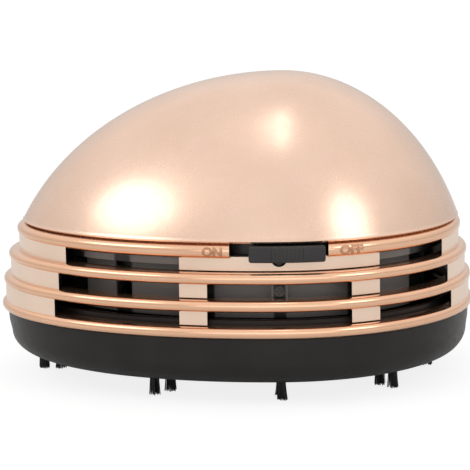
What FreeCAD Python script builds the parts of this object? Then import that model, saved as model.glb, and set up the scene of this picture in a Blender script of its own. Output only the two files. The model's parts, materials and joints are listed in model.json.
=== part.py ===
import FreeCAD, Part
import math
import os
import re

import Sketcher
from FreeCAD import Placement, Rotation, Vector

# Desktop mini vacuum cleaner: an egg-shaped dome on a band of four ribs, over a dark dust tray
# that stands on bristle tufts. Millimetres. X runs from the nose (-X) to the round tail (+X),
# the switch is at the front (-Y), Z is up, and Z = 0 is the plane under the bristle tips.
# Every sub-part is drawn about the dome's upright axis and placed by axis_shift, which brings
# the middle of the whole length to X = 0.

SIZES = {
    # Plan outline: a half circle at the tail and half an ellipse at the nose.
    "half_width": 46.0,
    "nose_reach": 69.0,
    # Heights of the main storeys.
    "bristle_length": 5.0,
    "base_depth": 11.2,
    "tub_rise": 3.3,
    "plenum": 9.0,
    # Base tray.
    "base_lip": 0.7,
    "base_taper": 1.6,
    "base_edge": 5.8,
    "base_wall": 1.6,
    "rim_height": 3.8,
    "rim_wall": 1.4,
    "rim_gap": 0.35,
    "rim_root": 2.7,
    "mouth_half_length": 17.0,
    "mouth_half_width": 6.5,
    "duct_wall": 1.2,
    "duct_height": 8.0,
    # Bristle tufts, in pairs round the mouth: where they stand as shares of the outline.
    "tuft_outer_share": 0.766,
    "tuft_inner_share": 0.677,
    "tuft_nose_outer_share": 0.862,
    "tuft_nose_inner_share": 0.800,
    "tuft_root_radius": 1.15,
    "tuft_tip_radius": 1.45,
    "tuft_hole_depth": 2.8,
    "tuft_boss_wall": 0.75,
    "tuft_boss_start": 1.0,
    # Rib band.
    "envelope_rise": 57.0,
    "rib_pitch": 6.1,
    "rib_height": 2.6,
    "top_rib_height": 3.3,
    "rib_flat": 0.1,
    "wall_recess": 1.9,
    "wall_thick": 1.9,
    "pillar_inner": 16.4,
    "pillar_outer": 22.8,
    "nose_wall_share": 0.772,
    "tail_wall_share": 0.874,
    "rear_wall_share": 0.8,
    "end_recess": 0.4,
    "end_bite": 0.4,
    "lug_width": 3.8,
    "lug_offset": 19.3,
    "lug_near": 1.3,
    "lug_far": 3.2,
    "lug_height": 5.0,
    "notch_radius": 1.9,
    "notch_sink": 0.1,
    # Dome cover.
    "dome_flare": 0.5,
    "dome_rise": 58.2,
    "dome_drop": 1.5,
    "dome_wall": 2.2,
    "seam_gap": 0.35,
    "ledge_inset": 0.5,
    "ledge_rise": 2.0,
    "spigot_depth": 1.9,
    "spigot_wall": 1.2,
    "fit_gap": 0.3,
    # Chassis tub.
    "skirt_gap": 2.8,
    "skirt_wall": 1.5,
    "tub_wall": 1.5,
    "skirt_height": 15.7,
    "flange_top": 14.1,
    "flange_thick": 1.6,
    "inlet_radius": 10.0,
    "post_radius": 2.5,
    "screw_radius": 0.8,
    "screw_head_radius": 1.4,
    "screw_head_height": 0.9,
    "boss_half_width": 1.8,
    "boss_reach": 3.3,
    "boss_low": 4.7,
    "boss_high": 9.2,
    "front_screw_radius": 0.7,
    "front_screw_head": 1.2,
    "front_screw_length": 4.0,
    "hole_play": 0.15,
    "post_hole_depth": 6.0,
    "post_hole_spare": 0.5,
    "lug_bite": 3.5,
    "cross_arm": 0.7,
    "cross_half": 0.14,
    "post_nose_share": 0.73,
    "post_nose_side_share": 0.33,
    "post_tail_share": 0.71,
    "post_tail_side_share": 0.437,
    "peg_radius": 0.7,
    "peg_length": 2.0,
    "peg_sink": 0.4,
    "vent_low": 3.0,
    "vent_half_width": 1.8,
    "vent_inset": 2.4,
    "vent_tail_inset": 5.9,
    "rear_vent_half_width": 10.0,
    "rear_vent_offset": 13.0,
    # Motor deck and battery bays.
    "deck_thick": 1.8,
    "deck_gap": 0.3,
    "cell_radius": 7.25,
    "cell_length": 50.5,
    "cell_gap": 1.15,
    "cell_back": 7.75,
    "cell_lift": 0.3,
    "contact_room": 3.6,
    "bay_wall": 1.2,
    "bay_height": 11.0,
    "bay_nose_half": 22.5,
    "cell_nub": 1.0,
    "cell_nub_radius": 2.75,
    "contact_thick": 0.4,
    "plate_half": 4.5,
    "dimple_radius": 2.0,
    "spring_radius": 3.0,
    "spring_wire": 0.7,
    "saddle_thick": 1.6,
    "saddle_height": 5.5,
    "saddle_reach": 13.0,
    # Motor and fan.
    "motor_radius": 10.2,
    "motor_length": 25.0,
    "can_wall": 0.8,
    "nose_boss_radius": 3.0,
    "nose_boss_length": 1.5,
    "bush_radius": 1.9,
    "cap_boss_radius": 3.2,
    "cap_boss_height": 1.3,
    "magnet_radius": 7.9,
    "magnet_low": 3.0,
    "magnet_high": 22.0,
    "magnet_gap_half": 3.0,
    "terminal_offset": 7.0,
    "terminal_half": 1.1,
    "terminal_thick": 0.4,
    "terminal_height": 3.5,
    "armature_radius": 7.3,
    "armature_low": 5.0,
    "armature_high": 20.0,
    "commutator_radius": 2.6,
    "commutator_height": 4.0,
    "motor_screw_offset": 6.5,
    "shaft_radius": 1.0,
    "shaft_clearance": 0.05,
    "shaft_end": 1.0,
    "cap_height": 2.5,
    "fan_radius": 17.0,
    "fan_top_gap": 1.8,
    "fan_disc": 1.2,
    "blade_height": 4.4,
    "blade_thick": 1.0,
    "blade_inset": 0.3,
    "hub_radius": 3.4,
    "fan_blades": 9,
    # Filter.
    "filter_radius": 15.0,
    "filter_ring": 2.2,
    "filter_height": 2.6,
    "mesh_thick": 0.5,
    # Switch.
    "slot_half_width": 11.2,
    "knob_width": 17.7,
    "knob_stand": 1.2,
    "knob_cap": 1.3,
    "knob_skirt": 0.65,
    "knob_stem_gap": 0.35,
    "knob_top_gap": 0.2,
    "knob_edge": 0.5,
    "rest_turn": 2.5,
    "carrier_half_width": 13.5,
    "carrier_wall": 1.4,
    "carrier_gap": 0.6,
    "carrier_float": 0.1,
    "switch_room": 16.6,
    "switch_room_depth": 3.0,
    "fork_gap": 0.25,
    "lever_width": 2.0,
    "lever_height": 1.6,
    "lever_tip_gap": 0.6,
    "lever_hold": 1.5,
    "switch_plate": 0.5,
    "switch_post_half": 1.9,
    "switch_inset": 4.1,
    "switch_depth": 5.5,
    "switch_half_width": 6.0,
    "switch_flange_half": 11.5,
    "switch_screw_offset": 9.5,
    "switch_height": 5.0,
    "switch_rise": 2.0,
    # Wiring.
    "wire_radius": 0.65,
}

# Sizes that follow from the ones above.
DERIVED = {
    "axis_shift": "(nose_reach - half_width) / 2",
    "egg_ratio": "nose_reach / half_width",
    "band_bottom": "bristle_length + base_depth",
    "band_depth": "wall_recess + wall_thick",
    "mid_low": "rib_height / 2",
    "mid_second": "mid_low + rib_pitch",
    "mid_third": "mid_second + rib_pitch",
    "mid_top": "mid_third + rib_pitch",
    "share_low": "sqrt(1 - (mid_low / envelope_rise)^2)",
    "share_second": "sqrt(1 - (mid_second / envelope_rise)^2)",
    "share_third": "sqrt(1 - (mid_third / envelope_rise)^2)",
    "share_top": "sqrt(1 - (mid_top / envelope_rise)^2)",
    "slot_floor": "mid_top - top_rib_height / 2",
    "band_height": "mid_top + top_rib_height / 2",
    "seam": "band_bottom + band_height",
    "throat_side": "half_width * share_top - band_depth",
    "foot_side": "half_width * share_low - band_depth",
    "throat_nose": "throat_side * egg_ratio",
    "skirt_side": "throat_side - skirt_gap",
    "skirt_nose": "skirt_side * egg_ratio",
    "tub_floor": "band_bottom + tub_rise",
    "flange_level": "tub_rise + flange_top",
    "deck_under": "tub_floor + tub_wall + plenum",
    "deck_top": "deck_under + deck_thick",
    "cell_height": "deck_top + cell_lift + cell_radius",
    "cell_nose_end": "cell_back + cell_length / 2",
    "cell_tail_end": "cell_length / 2 - cell_back",
    "carrier_radius": "throat_side - carrier_gap",
    "fan_top": "deck_under - fan_top_gap",
    "fan_foot": "fan_top - fan_disc - blade_height",
    "switch_middle": "deck_top + switch_rise + switch_height / 2",
    "dome_side": "half_width + dome_flare",
    "dome_nose": "nose_reach",
    "nose_wall_edge": "nose_reach * share_top * nose_wall_share",
    "tail_wall_edge": "half_width * share_top * tail_wall_share",
    "post_nose_x": "skirt_nose * post_nose_share",
    "post_nose_y": "skirt_side * post_nose_side_share",
    "post_tail_x": "skirt_side * post_tail_share",
    "post_tail_y": "skirt_side * post_tail_side_share",
    "vent_nose": "nose_wall_edge - vent_inset",
    "vent_second": "(nose_wall_edge + pillar_outer) / 2",
    "vent_tail": "tail_wall_edge - vent_tail_inset",
    "cell_offset": "motor_radius + cell_radius + cell_gap",
    "knob_radius": "half_width * share_top + knob_stand",
    "switch_face": "skirt_side - switch_inset",
    "lever_reach": "carrier_radius - switch_face - lever_tip_gap",
    "lever_engage": "carrier_radius - carrier_wall / 2",
    "carrier_low": "band_bottom + flange_level + carrier_float",
    "carrier_high": "seam - knob_top_gap - carrier_float",
    "dome_seam": "band_height + dome_drop",
}

doc = FreeCAD.newDocument("desk_vacuum")
sizes = doc.addObject("Spreadsheet::Sheet", "sizes")
for row, (alias, number) in enumerate(SIZES.items(), start=1):
    sizes.set(f"A{row}", alias)
    sizes.set(f"B{row}", str(number))
    sizes.setAlias(f"B{row}", alias)
for row, (alias, rule) in enumerate(DERIVED.items(), start=len(SIZES) + 1):
    sizes.set(f"A{row}", alias)
    sizes.set(f"B{row}", "=" + rule)
    sizes.setAlias(f"B{row}", alias)
doc.recompute()

NAMES = set(SIZES) | set(DERIVED)
UP = Vector(0, 0, 1)
CENTRE = Vector(0, 0, 0)
ORIGIN_POINT = (-1, 1)
SUB_PARTS = []


def size(alias):
    """The present value of one cell of the sheet."""
    return float(sizes.get(alias))


def formula(text):
    """The text with each alias written as a reference to the sheet."""
    def reference(word):
        return "sizes." + word.group(0) if word.group(0) in NAMES else word.group(0)
    return re.sub(r"[a-z_]+", reference, text)


def value(rule):
    """What a rule comes to now, to start a sketch where its dimensions will hold it."""
    return float(sizes.evalExpression(formula(rule)))


def bind(item, **rules):
    """Tie properties to the sheet; a double underscore in a keyword stands for a dot."""
    for path, rule in rules.items():
        item.setExpression(path.replace("__", "."), formula(rule))
    return item


def keep(item, label, level="0", x="0", y="0"):
    """Name a sub-part and stand it at its place, measured from the dome's axis and the ground."""
    item.Label = label
    bind(item, Placement__Base__x=f"axis_shift + ({x})", Placement__Base__y=y, Placement__Base__z=level)
    SUB_PARTS.append(item)
    return item


def add(kind, name):
    return doc.addObject(kind, name)


# Sketches.

def sketch(body, name, plane="XY_Plane", level="0"):
    """A sketch on one of the body's own origin planes, at a distance from it."""
    item = body.newObject("Sketcher::SketchObject", name)
    origin_plane = next(piece for piece in body.Origin.OriginFeatures if piece.Role == plane)
    item.AttachmentSupport = [(origin_plane, "")]
    item.MapMode = "FlatFace"
    return bind(item, AttachmentOffset__Base__z=level)


def free_sketch(name, level="0"):
    """A sketch that belongs to no body, at a level."""
    return bind(add("Sketcher::SketchObject", name), Placement__Base__z=level)


def drive(item, kind, rule, *places):
    """A dimension of the sketch, tied to the sheet."""
    index = item.addConstraint(Sketcher.Constraint(kind, *places, value(rule)))
    item.setExpression(f"Constraints[{index}]", formula(rule))


def egg(item, nose, side):
    """The plan outline: a half circle of radius side, and half an ellipse that reaches nose."""
    first = item.GeometryCount
    quarter = math.pi / 2
    x_axis, y_axis = -1, -2
    item.addGeometry(Part.ArcOfCircle(Part.Circle(CENTRE, UP, value(side)), -quarter, quarter), False)
    ellipse = Part.Ellipse(Vector(-value(nose), 0, 0), Vector(0, -value(side), 0), CENTRE)
    item.addGeometry(Part.ArcOfEllipse(ellipse, -quarter, quarter), False)
    tail, bow, long_axis = first, first + 1, first + 2
    item.exposeInternalGeometry(bow)
    item.addConstraint([
        Sketcher.Constraint("Coincident", tail, 3, *ORIGIN_POINT),
        Sketcher.Constraint("PointOnObject", tail, 1, y_axis),
        Sketcher.Constraint("PointOnObject", tail, 2, y_axis),
        Sketcher.Constraint("Coincident", bow, 3, *ORIGIN_POINT),
        Sketcher.Constraint("Coincident", bow, 1, tail, 2),
        Sketcher.Constraint("PointOnObject", bow, 2, y_axis),
        Sketcher.Constraint("PointOnObject", long_axis, 1, x_axis),
    ])
    drive(item, "Radius", side, tail)
    drive(item, "Distance", f"2 * ({nose})", long_axis)


def egg_ring(item, nose, side, wall):
    egg(item, nose, side)
    egg(item, f"{nose} - ({wall})", f"{side} - ({wall})")


def rectangle(item, left, right, low, high):
    """Four sides at distances from the sketch's origin."""
    first = item.GeometryCount
    places = ((left, low), (right, low), (right, high), (left, high))
    corners = [Vector(value(x), value(y), 0) for x, y in places]
    for start, end in zip(corners, corners[1:] + corners[:1]):
        item.addGeometry(Part.LineSegment(start, end), False)
    for side in range(4):
        item.addConstraint(Sketcher.Constraint("Coincident", first + side, 2, first + (side + 1) % 4, 1))
        item.addConstraint(Sketcher.Constraint("Vertical" if side % 2 else "Horizontal", first + side))
    drive(item, "DistanceX", left, *ORIGIN_POINT, first, 1)
    drive(item, "DistanceX", right, *ORIGIN_POINT, first + 2, 1)
    drive(item, "DistanceY", low, *ORIGIN_POINT, first, 1)
    drive(item, "DistanceY", high, *ORIGIN_POINT, first + 2, 1)


def outline(item, corners):
    """A closed outline of straight sides through (x, y) corners, for a turned profile."""
    first = item.GeometryCount
    count = len(corners)
    places = [Vector(value(x), value(y), 0) for x, y in corners]
    for start, end in zip(places, places[1:] + places[:1]):
        item.addGeometry(Part.LineSegment(start, end), False)
    for side, (x, y) in enumerate(corners):
        item.addConstraint(Sketcher.Constraint("Coincident", first + side, 1, first + (side - 1) % count, 2))
        drive(item, "DistanceX", x, *ORIGIN_POINT, first + side, 1)
        drive(item, "DistanceY", y, *ORIGIN_POINT, first + side, 1)


# Features of a body.

def pad(body, profile, length, name):
    item = body.newObject("PartDesign::Pad", name)
    item.Profile = profile
    return bind(item, Length=length)


def turned(name, corners):
    """A body turned about the upright axis from a profile of (radius, height) corners."""
    body = add("PartDesign::Body", name)
    profile = sketch(body, name + "_profile", "XZ_Plane")
    outline(profile, corners)
    turn = body.newObject("PartDesign::Revolution", name + "_turn")
    turn.Profile = profile
    turn.ReferenceAxis = (profile, ["V_Axis"])
    turn.Angle = 360
    return body


def rounded(body, base, edges, radius, name):
    item = body.newObject("PartDesign::Fillet", name)
    item.Base = (base, edges)
    return bind(item, Radius=radius)


def flat_edges(shape, choose):
    """Names of the level, curved edges of a shape that pass a test."""
    names = []
    for number, edge in enumerate(shape.Edges, start=1):
        box = edge.BoundBox
        if box.ZLength < 1e-4 and edge.Length > 5 and choose(edge, box):
            names.append(f"Edge{number}")
    return names


# Primitives and booleans.

def block(name, x, y, z):
    """A box between two limits along each axis."""
    return bind(
        add("Part::Box", name),
        Length=f"({x[1]}) - ({x[0]})", Width=f"({y[1]}) - ({y[0]})", Height=f"({z[1]}) - ({z[0]})",
        Placement__Base__x=x[0], Placement__Base__y=y[0], Placement__Base__z=z[0])


def rod(name, radius, length, x="0", y="0", z="0", toward=UP):
    """A cylinder from a point, along one axis."""
    item = add("Part::Cylinder", name)
    item.Placement = Placement(CENTRE, Rotation(UP, toward))
    return bind(item, Radius=radius, Height=length,
                Placement__Base__x=x, Placement__Base__y=y, Placement__Base__z=z)


def union(name, pieces):
    item = add("Part::MultiFuse", name)
    item.Shapes = pieces
    return item


def group(name, pieces):
    """Solids that stay apart, as one sub-part."""
    item = add("Part::Compound", name)
    item.Links = pieces
    return item


def cut(name, base, tool):
    item = add("Part::Cut", name)
    item.Base = base
    item.Tool = tool
    return item


def common(name, first, second):
    item = add("Part::MultiCommon", name)
    item.Shapes = [first, second]
    return item


def stretched(name, form, ratio):
    """A round form whose nose half is drawn out along X, which makes its plan an egg."""
    sides = {end: block(f"{name}_{end}_side", along, ALL_WIDTH, ALL_WIDTH)
             for end, along in (("tail", REAR_HALF), ("bow", FRONT_HALF))}
    tail = common(f"{name}_tail", form, sides["tail"])
    bow = common(f"{name}_bow", form, sides["bow"])
    drawn = add("Part::Scale", f"{name}_drawn")
    drawn.Base = bow
    drawn.Uniform = False
    drawn.YScale = 1
    drawn.ZScale = 1
    bind(drawn, XScale=ratio)
    return union(name, [tail, drawn])


def raised(name, profile, length):
    """A free sketch carried straight up."""
    item = add("Part::Extrusion", name)
    item.Base = profile
    item.DirMode = "Custom"
    item.Dir = UP
    item.Solid = True
    return bind(item, LengthFwd=length)


DOWN = Vector(0, 0, -1)
FRONT = Vector(0, -1, 0)
NOSE = Vector(-1, 0, 0)
TAIL = Vector(1, 0, 0)
BOTH_SIDES = (("front", "-1"), ("rear", "1"))
BOTH_ENDS = (("left", "-1"), ("right", "1"))

# Limits along Y that reach past the whole object, or past one half of it.
ALL_WIDTH = ("-2 * half_width", "2 * half_width")
FRONT_HALF = ("-2 * half_width", "0")
REAR_HALF = ("0", "2 * half_width")
HALVES = (("front", FRONT_HALF, "tail_wall_share"), ("rear", REAR_HALF, "rear_wall_share"))
SWITCH_ROOM_DEPTH = ("-2 * half_width", "-switch_face + switch_room_depth")


# Base tray with the suction mouth, its duct and the sockets for the tufts.

def tuft_places():
    """Name, x and y of each tuft: pairs at set angles round the outline, one inside the other."""
    pairs = [("nose", 180.0), ("front_left", 235.7), ("front", 270.0), ("front_right", 317.5), ("tail", 0.0),
             ("rear_right", 42.5), ("rear", 90.0), ("rear_left", 124.3)]
    places = []
    for name, angle in pairs:
        reach = "nose_reach" if 90 < angle < 270 else "half_width"
        for ring in ("outer", "inner"):
            share = f"tuft_nose_{ring}_share" if name == "nose" else f"tuft_{ring}_share"
            places.append((f"tuft_{name}_{ring}", f"{reach} * {share} * cos({angle})",
                           f"half_width * {share} * sin({angle})"))
    return places


def mouth_block(name, wall, z):
    """The mouth's rectangle, larger by a wall, between two heights above the underside."""
    return block(name, (f"-mouth_half_length - {wall}", f"mouth_half_length + {wall}"),
                 (f"-mouth_half_width - {wall}", f"mouth_half_width + {wall}"), z)


def make_mouth_duct():
    """A square collar on the tray's floor that keeps the crumbs from falling back out."""
    duct = cut("mouth_duct", mouth_block("duct_outside", "duct_wall", ("base_wall", "duct_height")),
               mouth_block("duct_inside", "0", ("0", "duct_height + 1")))
    keep(duct, "mouth_duct", "bristle_length")


def make_base_tray():
    low, top = "half_width - base_lip - base_taper", "half_width - base_lip"
    form = turned("bowl_form", [
        ("0", "0"), (low, "0"), (top, "base_depth"), (f"{top} - base_wall", "base_depth"),
        (f"{low} - base_wall", "base_wall"), ("0", "base_wall")])
    doc.recompute()
    outside = rounded(form, form.Tip, flat_edges(form.Shape, lambda edge, box: box.ZMin < 0.01), "base_edge",
                      "bowl_edge")
    doc.recompute()
    inside = flat_edges(form.Shape, lambda edge, box: abs(box.ZMin - size("base_wall")) < 0.01)
    rounded(form, outside, inside, "base_edge - base_wall", "hollow_edge")
    bowl = stretched("bowl", form, "egg_ratio")

    rim_side = "(throat_side + (foot_side - throat_side) * (1 - rim_height / band_height) - rim_gap)"
    rim_nose = f"({rim_side} * egg_ratio)"
    ledge = free_sketch("rim_ledge", "base_depth - rim_root")
    egg(ledge, "nose_reach - base_lip - base_wall", "half_width - base_lip - base_wall")
    egg(ledge, f"{rim_nose} - rim_wall", f"{rim_side} - rim_wall")
    rim = free_sketch("rim", "base_depth - rim_root")
    egg_ring(rim, rim_nose, rim_side, "rim_wall")
    bosses = [rod(f"{name}_boss", "tuft_root_radius + tuft_boss_wall",
                  "tuft_hole_depth + tuft_boss_wall - tuft_boss_start", x, y, "tuft_boss_start")
              for name, x, y in tuft_places()]
    solid = union("tray_solid", [bowl, raised("rim_ledge_solid", ledge, "rim_root - seam_gap"),
                                 raised("rim_solid", rim, "rim_root + rim_height")] + bosses)
    mouth = mouth_block("mouth", "0", ("-1", "base_wall + 1"))
    holes = [rod(f"{name}_hole", "tuft_root_radius", "tuft_hole_depth + 1", x, y, "-1")
             for name, x, y in tuft_places()]
    keep(cut("base_tray", solid, union("tray_openings", [mouth] + holes)), "base_tray", "bristle_length")


def make_tufts():
    """Each tuft is pressed into its socket and flares towards its tip."""
    for label, x, y in tuft_places():
        tuft = turned(label, [("0", "0"), ("tuft_tip_radius", "0"), ("tuft_root_radius", "bristle_length"),
                              ("tuft_root_radius", "bristle_length + tuft_hole_depth"),
                              ("0", "bristle_length + tuft_hole_depth")])
        keep(tuft, label, "0", x, y)


# Rib band: four ribs round the outline, joined by recessed walls and pillars.

RIBS = (("low", "rib_height"), ("second", "rib_height"), ("third", "rib_height"), ("top", "top_rib_height"))
GAPS = (("low", "low", "second"), ("mid", "second", "third"), ("top", "third", "top"))


def rib_edge(rib, side):
    """Height of the lower (-1) or upper (1) edge of a rib above the band's foot."""
    return f"mid_{rib} {'+' if side > 0 else '-'} {dict(RIBS)[rib]} / 2"


def screw_places():
    """The four screws that hold the chassis to the band, beside the pillars."""
    places = []
    for x, nose in (("-lug_offset", "skirt_nose"), ("lug_offset", "skirt_side")):
        y = f"skirt_side * sqrt(1 - (lug_offset / {nose})^2) + screw_head_radius + fit_gap"
        places += [(x, f"-({y})"), (x, y)]
    return places


def window_ends(above, tail_share):
    """Where the windows under a rib end: the walls round the nose and the tail start there."""
    return f"-nose_reach * share_{above} * nose_wall_share", f"half_width * share_{above} * {tail_share}"


def end_walls(gap, below, above):
    """Walls that close the nose and the tail of a gap, nearly flush with the rib above."""
    inner = f"(half_width * share_{above} - wall_recess - end_bite)"
    plan = free_sketch(f"end_plan_{gap}", f"mid_{below}")
    egg(plan, f"nose_reach * share_{above} - end_recess", f"half_width * share_{above} - end_recess")
    egg(plan, f"{inner} * egg_ratio", inner)
    ring = raised(f"end_ring_{gap}", plan, "rib_pitch")
    between = [block(f"between_ends_{gap}_{half}", window_ends(above, tail_share), across,
                     (f"mid_{below} - 1", f"mid_{above} + 1")) for half, across, tail_share in HALVES]
    return cut(f"end_walls_{gap}", ring, union(f"between_ends_{gap}", between))


def make_rib_band():
    corners = [("foot_side", "0")]
    for rib, _ in RIBS:
        reach = f"half_width * share_{rib}"
        corners += [(reach, rib_edge(rib, -1)), (reach, rib_edge(rib, 1))]
        for gap, below, above in GAPS:
            if below == rib:
                recess = f"half_width * share_{above} - wall_recess"
                corners += [(recess, rib_edge(below, 1)), (recess, rib_edge(above, -1))]
    corners.append(("throat_side", "band_height"))
    form = turned("band_form", corners)
    doc.recompute()
    last = form.Tip
    for rib, height in RIBS:
        reach = size("half_width") * size(f"share_{rib}")
        last = rounded(form, last, flat_edges(form.Shape, lambda edge, box: abs(box.XMax - reach) < 0.02),
                       f"({height} - rib_flat) / 2", f"rib_{rib}_round")
        doc.recompute()
    ring = stretched("band_ring", form, "egg_ratio")

    cuts = []
    for gap, below, above in GAPS:
        heights = (rib_edge(below, 1), rib_edge(above, -1))
        for half, across, tail_share in HALVES:
            nose_end, tail_end = window_ends(above, tail_share)
            cuts.append(block(f"nose_window_{gap}_{half}", (nose_end, "-pillar_outer"), across, heights))
            cuts.append(block(f"tail_window_{gap}_{half}", ("pillar_outer", tail_end), across, heights))
        across = REAR_HALF if gap == "top" else ALL_WIDTH
        cuts.append(block(f"middle_window_{gap}", ("-pillar_inner", "pillar_inner"), across, heights))
    cuts.append(block("switch_slot", ("-slot_half_width", "slot_half_width"), FRONT_HALF,
                      ("slot_floor", "band_height + 1")))
    cuts.append(rod("peg_notch", "notch_radius", "2 * half_width", z="slot_floor - notch_sink", toward=FRONT))
    open_ring = cut("band_open_ring", ring, union("band_windows", cuts))
    walls = [end_walls(*gap) for gap in GAPS]

    foot = "flange_level - flange_thick - lug_height"
    lugs = []
    for number, (x, y) in enumerate(screw_places(), start=1):
        at_front = y.startswith("-")
        depth = (f"{y} - lug_far", f"{y} + lug_near") if at_front else (f"{y} - lug_near", f"{y} + lug_far")
        lugs.append(block(f"lug_{number}", (f"{x} - lug_width / 2", f"{x} + lug_width / 2"), depth,
                          (foot, f"{foot} + lug_height")))
    holes = [rod(f"lug_hole_{number}", "screw_radius", "lug_height", x, y, foot)
             for number, (x, y) in enumerate(screw_places(), start=1)]
    tub_room = free_sketch("tub_room", foot)
    egg(tub_room, "skirt_nose + fit_gap", "skirt_side + fit_gap")
    lug_cuts = union("lug_cuts", holes + [raised("tub_room_solid", tub_room, "lug_height")])
    solid = cut("rib_band", union("band_with_lugs", [open_ring] + walls + lugs), lug_cuts)
    keep(solid, "rib_band", "band_bottom")


# Dome cover: a thin half ellipsoid that sits in the band by a ledge and a spigot.

def half_ellipsoid(name, toward, reach, inset):
    """The half of a dome that lies towards one end, smaller by an inset all round."""
    form = add("Part::Ellipsoid", name)
    form.Placement = Placement(CENTRE, Rotation(UP, toward))
    form.Angle1 = 0
    form.Angle2 = 90
    form.Angle3 = 360
    return bind(form, Radius1=f"{reach} - {inset}", Radius2=f"dome_rise - {inset}",
                Radius3=f"dome_side - {inset}")


def make_dome_cover():
    halves = []
    below = block("dome_below_seam", ALL_WIDTH, ALL_WIDTH, ("-2 * half_width", "dome_seam + seam_gap"))
    for name, toward, reach in (("dome_nose_half", NOSE, "dome_nose"), ("dome_tail_half", TAIL, "dome_side")):
        shell = cut(name, half_ellipsoid(f"{name}_outside", toward, reach, "0"),
                    half_ellipsoid(f"{name}_inside", toward, reach, "dome_wall"))
        halves.append(cut(f"{name}_trimmed", shell, below))

    share = "sqrt(1 - ((dome_seam + ledge_rise) / dome_rise)^2)"
    ledge = free_sketch("dome_ledge", "dome_seam")
    egg(ledge, f"dome_nose * {share} - ledge_inset", f"dome_side * {share} - ledge_inset")
    egg(ledge, "throat_nose - fit_gap - spigot_wall", "throat_side - fit_gap - spigot_wall")
    spigot = free_sketch("dome_spigot", "dome_seam - spigot_depth")
    egg_ring(spigot, "throat_nose - fit_gap", "throat_side - fit_gap", "spigot_wall")
    foot = [raised("dome_ledge_solid", ledge, "ledge_rise"),
            raised("dome_spigot_solid", spigot, "spigot_depth + ledge_rise")]
    whole = union("dome_whole", halves + foot)
    switch_room = block("dome_switch_room", ("-switch_room", "switch_room"), SWITCH_ROOM_DEPTH,
                        ("dome_seam - spigot_depth - 1", "dome_seam"))
    keep(cut("dome_cover", whole, switch_room), "dome_cover", "band_bottom - dome_drop")


# Chassis tub: the black inner wall seen between the ribs, with the fan's chamber in it.

def post_places():
    """Where the motor deck is screwed down."""
    corners = (("-post_nose_x", "post_nose_y"), ("post_tail_x", "post_tail_y"))
    return [(x, f"{sign} * {y}") for x, y in corners for _, sign in BOTH_SIDES]


def make_chassis_tub():
    floor = free_sketch("tub_floor_outline")
    egg(floor, "skirt_nose", "skirt_side")
    skirt = free_sketch("skirt")
    egg_ring(skirt, "skirt_nose", "skirt_side", "skirt_wall")
    flange = free_sketch("flange", "flange_top - flange_thick")
    egg(flange, "throat_nose - fit_gap", "throat_side - fit_gap")
    egg(flange, "skirt_nose - skirt_wall / 2", "skirt_side - skirt_wall / 2")
    posts = [rod(f"post_{number}", "post_radius", "plenum + tub_wall", x, y)
             for number, (x, y) in enumerate(post_places(), start=1)]
    boss = block("front_boss", ("-boss_half_width", "boss_half_width"),
                 ("-skirt_side - boss_reach", "-skirt_side + skirt_wall / 2"), ("boss_low", "boss_high"))
    peg = rod("peg", "peg_radius", "peg_length", y="-throat_side + fit_gap + 0.05", z="flange_top - peg_sink",
              toward=FRONT)
    rings = [raised("tub_floor_solid", floor, "tub_wall"), raised("skirt_solid", skirt, "skirt_height"),
             raised("flange_solid", flange, "flange_thick")]
    solid = union("tub_solid", rings + [boss, peg] + posts)

    heights = ("vent_low", "flange_top - flange_thick - 0.5")
    vents = [(middle, "vent_half_width", FRONT_HALF) for middle in ("-vent_nose", "-vent_second", "vent_tail")]
    vents += [(f"{sign} * rear_vent_offset", "rear_vent_half_width", REAR_HALF) for _, sign in BOTH_ENDS]
    cuts = [block(f"vent_{number}", (f"{middle} - {half}", f"{middle} + {half}"), across, heights)
            for number, (middle, half, across) in enumerate(vents, start=1)]
    cuts.append(rod("inlet", "inlet_radius", "tub_wall + 1", z="-0.5"))
    cuts.append(block("carrier_room", ("-switch_room", "switch_room"), SWITCH_ROOM_DEPTH,
                      ("flange_top", "skirt_height + 1")))
    post_foot = "plenum + tub_wall - post_hole_depth"
    cuts += [rod(f"post_hole_{number}", "screw_radius", "post_hole_depth", x, y, post_foot)
             for number, (x, y) in enumerate(post_places(), start=1)]
    cuts += [rod(f"flange_hole_{number}", "screw_radius + hole_play", "flange_thick + 1", x, y,
                 "flange_top - flange_thick - 0.5") for number, (x, y) in enumerate(screw_places(), start=1)]
    cuts.append(rod("front_hole", "front_screw_radius", "front_screw_length + 1",
                    y="-skirt_side - boss_reach + front_screw_length",
                    z="(boss_low + boss_high) / 2", toward=FRONT))
    keep(cut("chassis_tub", solid, union("tub_openings", cuts)), "chassis_tub", "tub_floor")


# Motor deck: a plate over the fan's chamber that carries the motor, the two cells and the switch.

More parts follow.
